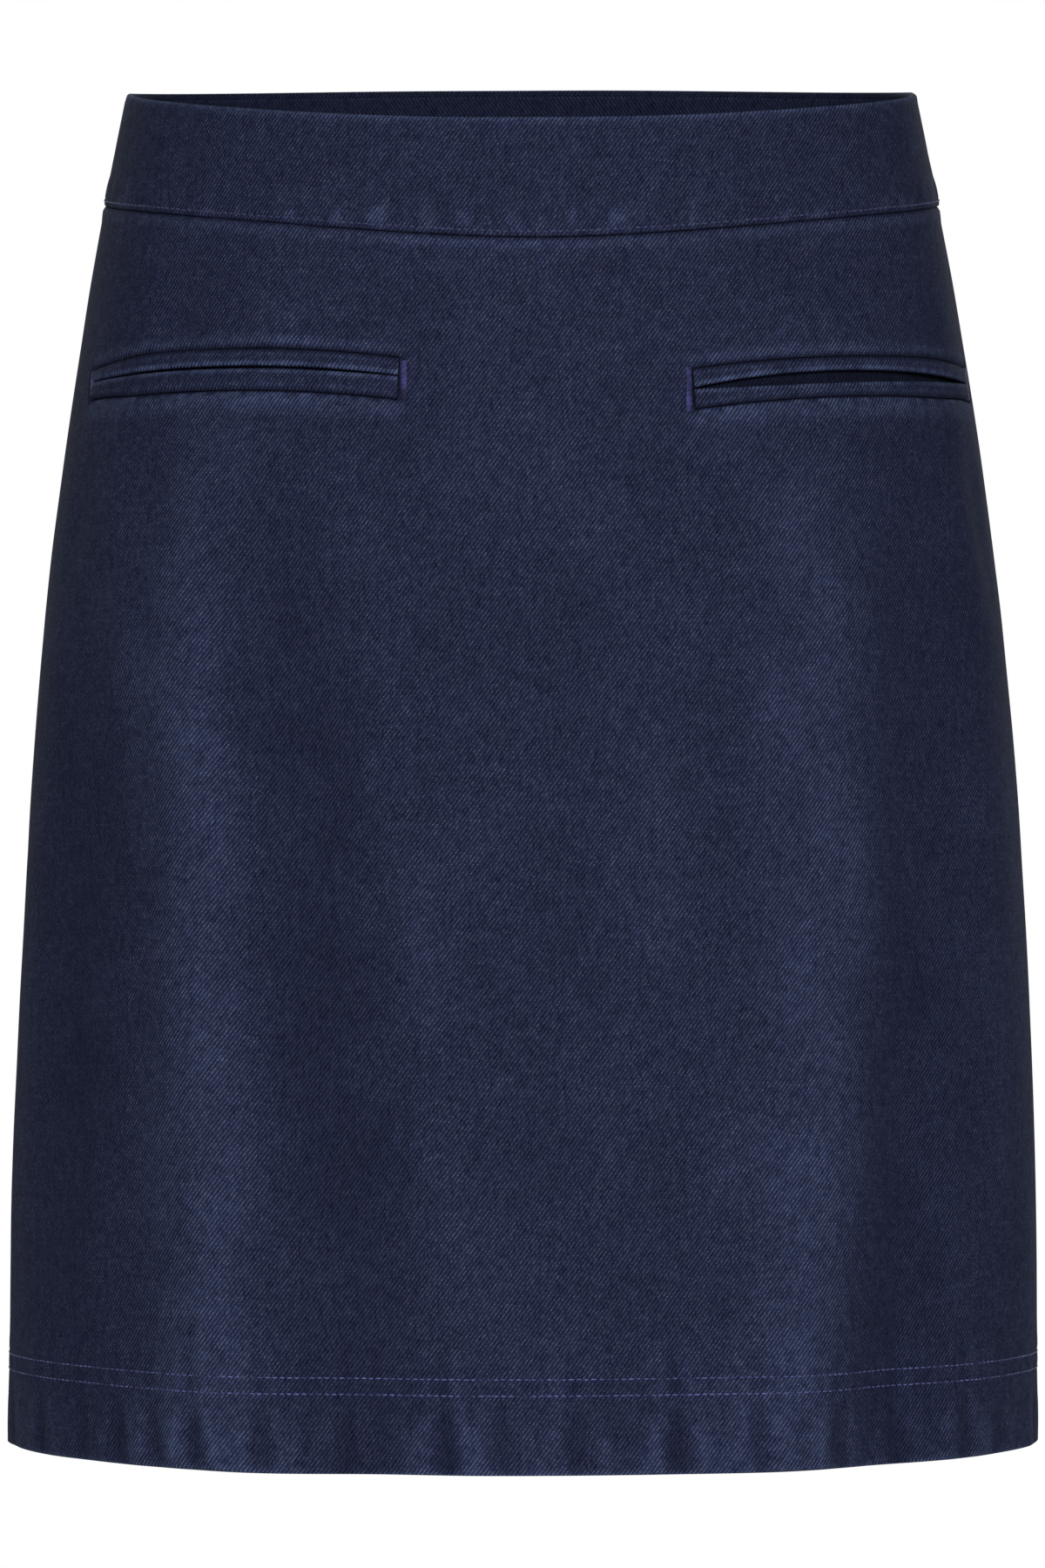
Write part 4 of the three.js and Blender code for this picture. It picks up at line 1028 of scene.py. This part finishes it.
def pocketBag(pocket, name, nodes):
    # Two layers of pocketing, pinched together along their sewn edge. The front one is open at the pocket's mouth.
    middle = (pocket["inner"] + pocket["outer"]) / 2
    half = (pocket["outer"] - pocket["inner"]) / 2 + bagForm["margin"]
    window = (-1 + 2 * bagForm["margin"] / (2 * half), 1 - 2 * bagForm["margin"] / (2 * half))
    across = np.unique(np.concatenate([np.linspace(-1, 1, bagForm["columns"]), window,
                                       [-1 + 0.02, 1 - 0.02, -0.93, 0.93]]))
    tall = bagForm["above"] + bagForm["below"]
    cutLow, cutHigh = bagForm["below"] - 7.2, bagForm["below"] + 6.2
    rise = np.unique(np.concatenate([np.linspace(0, tall, bagForm["rows"]), [cutLow, cutHigh, 2, 5, tall - 3]]))
    narrow = 1 - bagForm["taper"] * (1 - rise / tall) ** 4
    arcs = pocket["side"] * middle + half * across[None, :] * narrow[:, None]
    run = np.clip((pocket["side"] * arcs - pocket["inner"]) / (pocket["outer"] - pocket["inner"]), 0, 1)
    slit = slitLevel(pocket, run)
    levels = slit - bagForm["below"] + rise[:, None]
    angles = angleAtArc(arcs, slit)
    # Distance in from the bag's edge, which the two layers' gap grows with.
    sideIn = half * (1 - np.abs(across))[None, :] * narrow[:, None]
    edgeIn = np.minimum(np.minimum(sideIn, rise[:, None]), tall - rise[:, None])
    opened = smooth(edgeIn, bagForm["seam"] - 2, bagForm["seam"] + 8)
    centre = -bagForm["behind"] - bagForm["paintedShade"] / 2 + bodyRelief(angles, levels)
    loose = 0.12 * uneven(arcs, levels, 18, 24, 18)
    halfGap = (bagForm["paintedShade"] / 2 - bagForm["layer"] - 0.05) * opened + 0.05 + 0 * arcs
    frontOut, backOut = centre + halfGap + bagForm["layer"], centre - halfGap - bagForm["layer"] + loose * opened
    windowCells = np.ones((len(rise) - 1, len(across) - 1), bool)
    insideColumns = (across[:-1] >= window[0] - 1e-6) & (across[1:] <= window[1] + 1e-6)
    insideRows = (rise[:-1] >= cutLow - 1e-6) & (rise[1:] <= cutHigh + 1e-6)
    windowCells[np.ix_(insideRows, insideColumns)] = False
    place = clothPlace(angles, levels)
    wearAndShade = np.zeros(levels.shape)
    front = gridShell(offFace(angles, levels, frontOut), offFace(angles, levels, frontOut - bagForm["layer"]), place,
                      wearAndShade, windowCells)
    back = gridShell(offFace(angles, levels, centre - halfGap + loose * opened * 0.5),
                     offFace(angles, levels, backOut), place, wearAndShade)
    # The back layer's strip behind the mouth is faced with denim.
    facing = np.isin(back["finish"], 0)
    heights = back["points"][back["quads"]].mean(axis=1)[:, 2]
    back["finish"] = np.where(facing & (heights > pocket["levelMiddle"] - 34), 1, 0)
    # Painted shade: the denim strip seen through the mouth is darkened, as if in the pocket's shadow.
    back["wearAndShade"][:] = bagForm["mouthShade"]
    front["finish"][:] = 0
    return makePiece(name, joined([front, back]), [finish["pocketing"], finish["denim"]], nodes=nodes)


lips, bags = {}, {}
for pocket in pockets:
    sideName = pocket["name"].capitalize()
    for which, word in (("above", "upper"), ("below", "lower")):
        lips[pocket["name"], word] = pocketLip(pocket, which, f"pocketLip{word.capitalize()}{sideName}",
                                               [f"pocket_{pocket['name']}_{word}_lip"])
    bags[pocket["name"]] = pocketBag(pocket, f"pocketBag{sideName}", [f"pocket_{pocket['name']}_bag"])


# Stitching: each stitch is a short thread that arches out of the cloth and dives back into it.
def stitchPart(start, end, out, wide, high, lift=0.0):
    # Rings along each stitch: thinner and sunk at its ends, round between, from its two ends and the way out.
    along = np.array([0, 0.16, 0.5, 0.84, 1])
    size = np.array([0.45, 0.9, 1, 0.9, 0.45])
    sunk = np.array([-0.75, -0.05, 0.12, -0.05, -0.75]) * high
    turn = np.radians([0, 60, 120, 180, 240, 300])
    run = end - start
    beside = unit(np.cross(out, run))
    centre = start[:, None] + run[:, None] * along[None, :, None] + out[:, None] * (sunk + lift)[None, :, None]
    spread = beside[:, None, None] * (np.cos(turn) * wide / 2)[None, None, :, None]
    rise = out[:, None, None] * (np.sin(turn) * high / 2)[None, None, :, None]
    return tubes(centre[:, :, None] + (spread + rise) * size[None, :, None, None])


def stitchRow(angles, levels, offset, pitch, gap, wide, high, seed):
    # Stitches of one pitch along a line on the cloth, each a little long, short or off the line.
    points = offFace(angles, levels, offset)
    run = np.concatenate([[0], np.linalg.norm(np.diff(points, axis=0), axis=1).cumsum()])
    count = int(run[-1] / pitch)
    random = np.random.default_rng(seed)
    marks = (np.arange(count + 1) + random.uniform(-0.06, 0.06, count + 1)) * run[-1] / count
    ends = [marks[:-1] + gap / 2, marks[1:] - gap / 2]
    outs = directions(angles, levels)[2]
    up = random.uniform(-0.05, 0.05, count)
    places = [np.stack([np.interp(s, run, points[:, k]) for k in range(3)], -1) for s in ends]
    middle = (ends[0] + ends[1]) / 2
    out = unit(np.stack([np.interp(middle, run, outs[:, k]) for k in range(3)], -1))
    for place in places:
        place[:, 2] += up
    return stitchPart(places[0], places[1], out, wide, high)


hemStitch = {"pitch": 2.45, "gap": 0.55, "wide": 0.5, "high": 0.4}
bandStitch = {"pitch": 2.6, "gap": 0.65, "wide": 0.62, "high": 0.5}
roundAngles = np.linspace(-cut["sideSeam"] + 0.3, 360 - cut["sideSeam"] - 0.3, 1600)

parts = []
for k, row in enumerate(bodyForm["stitchRows"]):
    levels = np.full_like(roundAngles, row)
    parts.append(stitchRow(roundAngles, levels, bodyDetail(roundAngles, levels) + 0.12, hemStitch["pitch"],
                           hemStitch["gap"], hemStitch["wide"], hemStitch["high"], 21 + k))
hemStitching = makePiece("hemTwinStitching", joined(parts), [finish["hemThread"]], sharp=80)

levels = seamLevel(roundAngles) + bandForm["rowUp"]
bandStitching = makePiece("bandEdgeStitching", stitchRow(
    roundAngles, levels, bandDetail(roundAngles, levels) + 0.12, bandStitch["pitch"], bandStitch["gap"],
    bandStitch["wide"], bandStitch["high"], 31), [finish["bandThread"]], sharp=80)

# Bar tacks at the pocket ends: a column of satin stitches. side, how far past the mouth's end it is centred (inwards
# is negative), the levels it spans from the slit, its width, and how uneven it is.
tacks = rowsOf("pocket end past low high wide stray", [
    (0, "inner", -1.7, -7.6, 4.8, 2.2, 0.22), (1, "inner", -1.6, -7.4, 6.8, 2.2, 0.22),
    (0, "outer", 0.7, -4.2, 3.6, 1.9, 0.26), (1, "outer", 0.7, -5.4, 5.2, 1.9, 0.26),
])
tackStitch = {"pitch": 0.29, "thick": 0.42, "tilt": 0.2, "lift": 0.16}


def barTack(tack, seed):
    pocket = pockets[tack["pocket"]]
    random = np.random.default_rng(seed)
    count = int((tack["high"] - tack["low"]) / tackStitch["pitch"])
    rise = np.linspace(tack["low"], tack["high"], count)
    arc = pocket["side"] * (pocket[tack["end"]] + tack["past"])
    slit = slitLevel(pocket, 0.0 if tack["end"] == "inner" else 1.0)
    places = []
    for sign in (-1, 1):
        levels = slit + rise + sign * tackStitch["tilt"] + random.normal(0, 0.11, count)
        arcs = arc + sign * tack["wide"] / 2 + random.normal(0, tack["stray"] * 0.4, count)
        angles = angleAtArc(arcs, levels)
        places.append(offFace(angles, levels, bodyDetail(angles, levels) + tackStitch["lift"]
                              + random.uniform(-0.08, 0.08, count)))
    out = directions(angles, levels)[2]
    return stitchPart(places[0], places[1], out, tackStitch["thick"], tackStitch["thick"])


tackPiece = makePiece("pocketBarTacks", joined([barTack(tack, 41 + k) for k, tack in enumerate(tacks)]),
                      [finish["tackThread"]], sharp=80)


# Inside the side seams the two allowances are pressed open. They run down into the hem's fold, and on the wearer's
# left they start below the zip.
def seamAllowance(name, centre, high):
    columns = centre + np.array([-10, -9.6, -8, -5, -2, -0.6, -0.15, 0.15, 0.6, 2, 5, 8, 9.6, 10]) / 2.65
    low, hemTop, high = (np.full_like(columns, level) for level in (
        cut["hem"] + 1.6, cut["hem"] + cut["hemDepth"] + 0.9, high))
    levels = np.concatenate([spaced(low, hemTop, 6, False, False), spaced(hemTop, high, 6, False, False), high[None]])
    angles = np.broadcast_to(columns, levels.shape)
    seam = bell(angles - centre, 0.25)
    outer = -cut["cloth"] - 0.06 + behindCloth(angles, levels)
    inner = outer - 0.75 + 0.4 * seam
    part = gridShell(offFace(angles, levels, outer - 0.05), offFace(angles, levels, inner),
                     clothPlace(np.clip(angles, -100, 262), levels), 0.2 + 0 * levels)
    return makePiece(name, part, [finish["reverse"], finish["denim"]])


allowances = [seamAllowance("sideSeamAllowanceRight", -cut["sideSeam"],
                            float(seamLevel(-cut["sideSeam"])) - cut["facingBelowSeam"] - 1.6),
              seamAllowance("sideSeamAllowanceLeft", cut["sideSeam"], -207)]


# The concealed zip: woven tape behind the seam, with a nylon coil down its middle.
zipForm = {"half": 11, "top": -42.5, "bottom": -206, "behind": 1.55, "thick": 0.55, "toothPitch": 1.25,
           "toothWide": 3.6, "toothThick": 0.7}


def zipTape():
    rows = np.linspace(zipForm["bottom"], zipForm["top"], 80)
    across = np.array([-11, -10.6, -8, -5, -3, -1, -0.2, 0.2, 1, 3, 5, 8, 10.6, 11])
    perDegree = arcAt(cut["sideSeam"] + 0.5, rows) - arcAt(cut["sideSeam"] - 0.5, rows)
    angles = cut["sideSeam"] + across[None, :] / perDegree[:, None]
    levels = np.broadcast_to(rows[:, None], angles.shape)
    outer = -zipForm["behind"] - 0.1 + behindCloth(angles, levels, 0.2)
    place = np.stack(np.broadcast_arrays(across[None, :], rows[:, None]), -1) * mm
    tape = gridShell(offFace(angles, levels, outer), offFace(angles, levels, outer - zipForm["thick"]), place,
                     0 * levels)
    tape["finish"][:] = 0
    # Teeth: short arched loops side by side, in two interlocked rows.
    teeth = np.arange(zipForm["bottom"] + 5, zipForm["top"] - 2, zipForm["toothPitch"])
    parts = [tape]
    depth = -zipForm["behind"] - zipForm["thick"] - 0.45
    for sign in (-1, 1):
        levels = teeth + sign * zipForm["toothPitch"] / 4
        ends = [np.interp(levels, rows, cut["sideSeam"] + reach / perDegree)
                for reach in (sign * zipForm["toothWide"] / 2, -sign * 0.5)]
        starts, stops = (offFace(angle, levels, depth + behindCloth(angle, levels, 0.2)) for angle in ends)
        out = directions(ends[0], levels)[2]
        parts.append(stitchPart(starts, stops, -out, zipForm["toothThick"], zipForm["toothThick"]))
        parts[-1]["finish"][:] = 1
    return makePiece("zipTape", joined(parts), [finish["tape"], finish["coil"]], nodes=["zip_tape"])


zipPiece = zipTape()


def bevelled(node, name, body):
    # The CAD piece's own shape with its edges rounded as a die-casting's are.
    source = bpy.data.objects[node]
    mesh = source.data.copy()
    mesh.name = name
    build = bmesh.new()
    build.from_mesh(mesh)
    bmesh.ops.remove_doubles(build, verts=build.verts, dist=1e-6)
    bmesh.ops.dissolve_limit(build, angle_limit=np.radians(2), verts=build.verts, edges=build.edges)
    build.to_mesh(mesh)
    build.free()
    mesh.materials.clear()
    mesh.materials.append(finish["metal"])
    mesh.shade_smooth()
    mesh.set_sharp_from_angle(angle=np.radians(40))
    piece = bpy.data.objects.new(name, mesh)
    bpy.context.collection.objects.link(piece)
    edge = piece.modifiers.new("edges", "BEVEL")
    edge.width, edge.segments, edge.limit_method, edge.angle_limit = 0.00016, 3, "ANGLE", np.radians(35)
    edge.harden_normals = False
    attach(piece, body)
    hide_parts(node)
    return piece


sliderPiece = bevelled("zip_slider", "zipSlider", "skirt")
pullPiece = bevelled("zip_pull", "zipPull", "pull")

print("pieces made")

# Floor, light and camera. The picture's ground is plain white, as a cut-out's is; the floor lies below the frame.
studio = {"floorLevel": -0.75, "floorRadius": 1.6, "distance": 2.4, "azimuth": -3.4, "aimLevel": -0.2358, "lens": 160}


def makeFloor():
    turn = np.linspace(0, 2 * np.pi, 96, endpoint=False)
    rim = np.stack([np.cos(turn), np.sin(turn), 0 * turn], -1) * studio["floorRadius"]
    rim[:, 2] = studio["floorLevel"]
    mesh = bpy.data.meshes.new("floor")
    mesh.from_pydata(rim.tolist(), [], [list(range(96))])
    material, tree, shader = newFinish("matWhitePaper")
    here = addNode(tree, "ShaderNodeTexCoord")
    grain = addNode(tree, "ShaderNodeTexNoise", {"Vector": here.outputs["Object"], "Scale": 6, "Detail": 3})
    ramp = addNode(tree, "ShaderNodeValToRGB", {0: grain.outputs[0]})
    ramp.color_ramp.elements[0].color, ramp.color_ramp.elements[1].color = colour("#e9eaec"), colour("#f1f2f3")
    tree.links.new(ramp.outputs[0], shader.inputs["Base Color"])
    shader.inputs["Roughness"].default_value = 0.9
    mesh.materials.append(material)
    floor = bpy.data.objects.new("floor", mesh)
    bpy.context.collection.objects.link(floor)


def aimed(thing, azimuth, elevation, distance, target):
    # Places an object round the skirt, looking at a target. Azimuth 0 is the front, positive to the wearer's left.
    a, e = np.radians(azimuth), np.radians(elevation)
    way = Vector((np.sin(a) * np.cos(e), -np.cos(a) * np.cos(e), np.sin(e)))
    thing.location = Vector(target) + way * distance
    thing.rotation_euler = (-way).to_track_quat("-Z", "Y").to_euler()


# Soft lights: a key beside the camera, and three behind the skirt that reach its back and sides.
lights = rowsOf("name azimuth elevation distance size power", [
    ("keySoftbox", 0, 12, 2.9, 0.9, 47),
    ("rearRightSoftbox", -148, 16, 2.8, 0.9, 10),
    ("rearLeftSoftbox", 152, 14, 2.8, 0.9, 14),
    ("rearSoftbox", 184, 22, 2.8, 1.2, 17),
])


def makeLights():
    for row in lights:
        light = bpy.data.lights.new(row["name"], "AREA")
        light.shape, light.size, light.energy = "DISK", row["size"], row["power"]
        lamp = bpy.data.objects.new(row["name"], light)
        bpy.context.collection.objects.link(lamp)
        aimed(lamp, row["azimuth"], row["elevation"], row["distance"], (0, 0, -0.22))
    world = bpy.data.worlds.new("studio")
    world.use_nodes = True
    bpy.context.scene.world = world
    tree = world.node_tree
    ground = tree.nodes["Background"]
    path = addNode(tree, "ShaderNodeLightPath")
    shown = addNode(tree, "ShaderNodeMapRange", {"Value": path.outputs["Is Camera Ray"], "To Min": 0.06, "To Max": 1})
    tree.links.new(shown.outputs[0], ground.inputs["Strength"])
    ground.inputs["Color"].default_value = (1, 1, 1, 1)


def makeCamera():
    data = bpy.data.cameras.new("camera")
    data.lens, data.sensor_width, data.clip_end = studio["lens"], 36, 20
    camera = bpy.data.objects.new("camera", data)
    bpy.context.collection.objects.link(camera)
    aimed(camera, studio["azimuth"], 0, studio["distance"], (0, 0, studio["aimLevel"]))
    bpy.context.scene.camera = camera


makeFloor()
makeLights()
makeCamera()
bpy.context.scene.view_settings.view_transform = "Standard"
print("studio made")
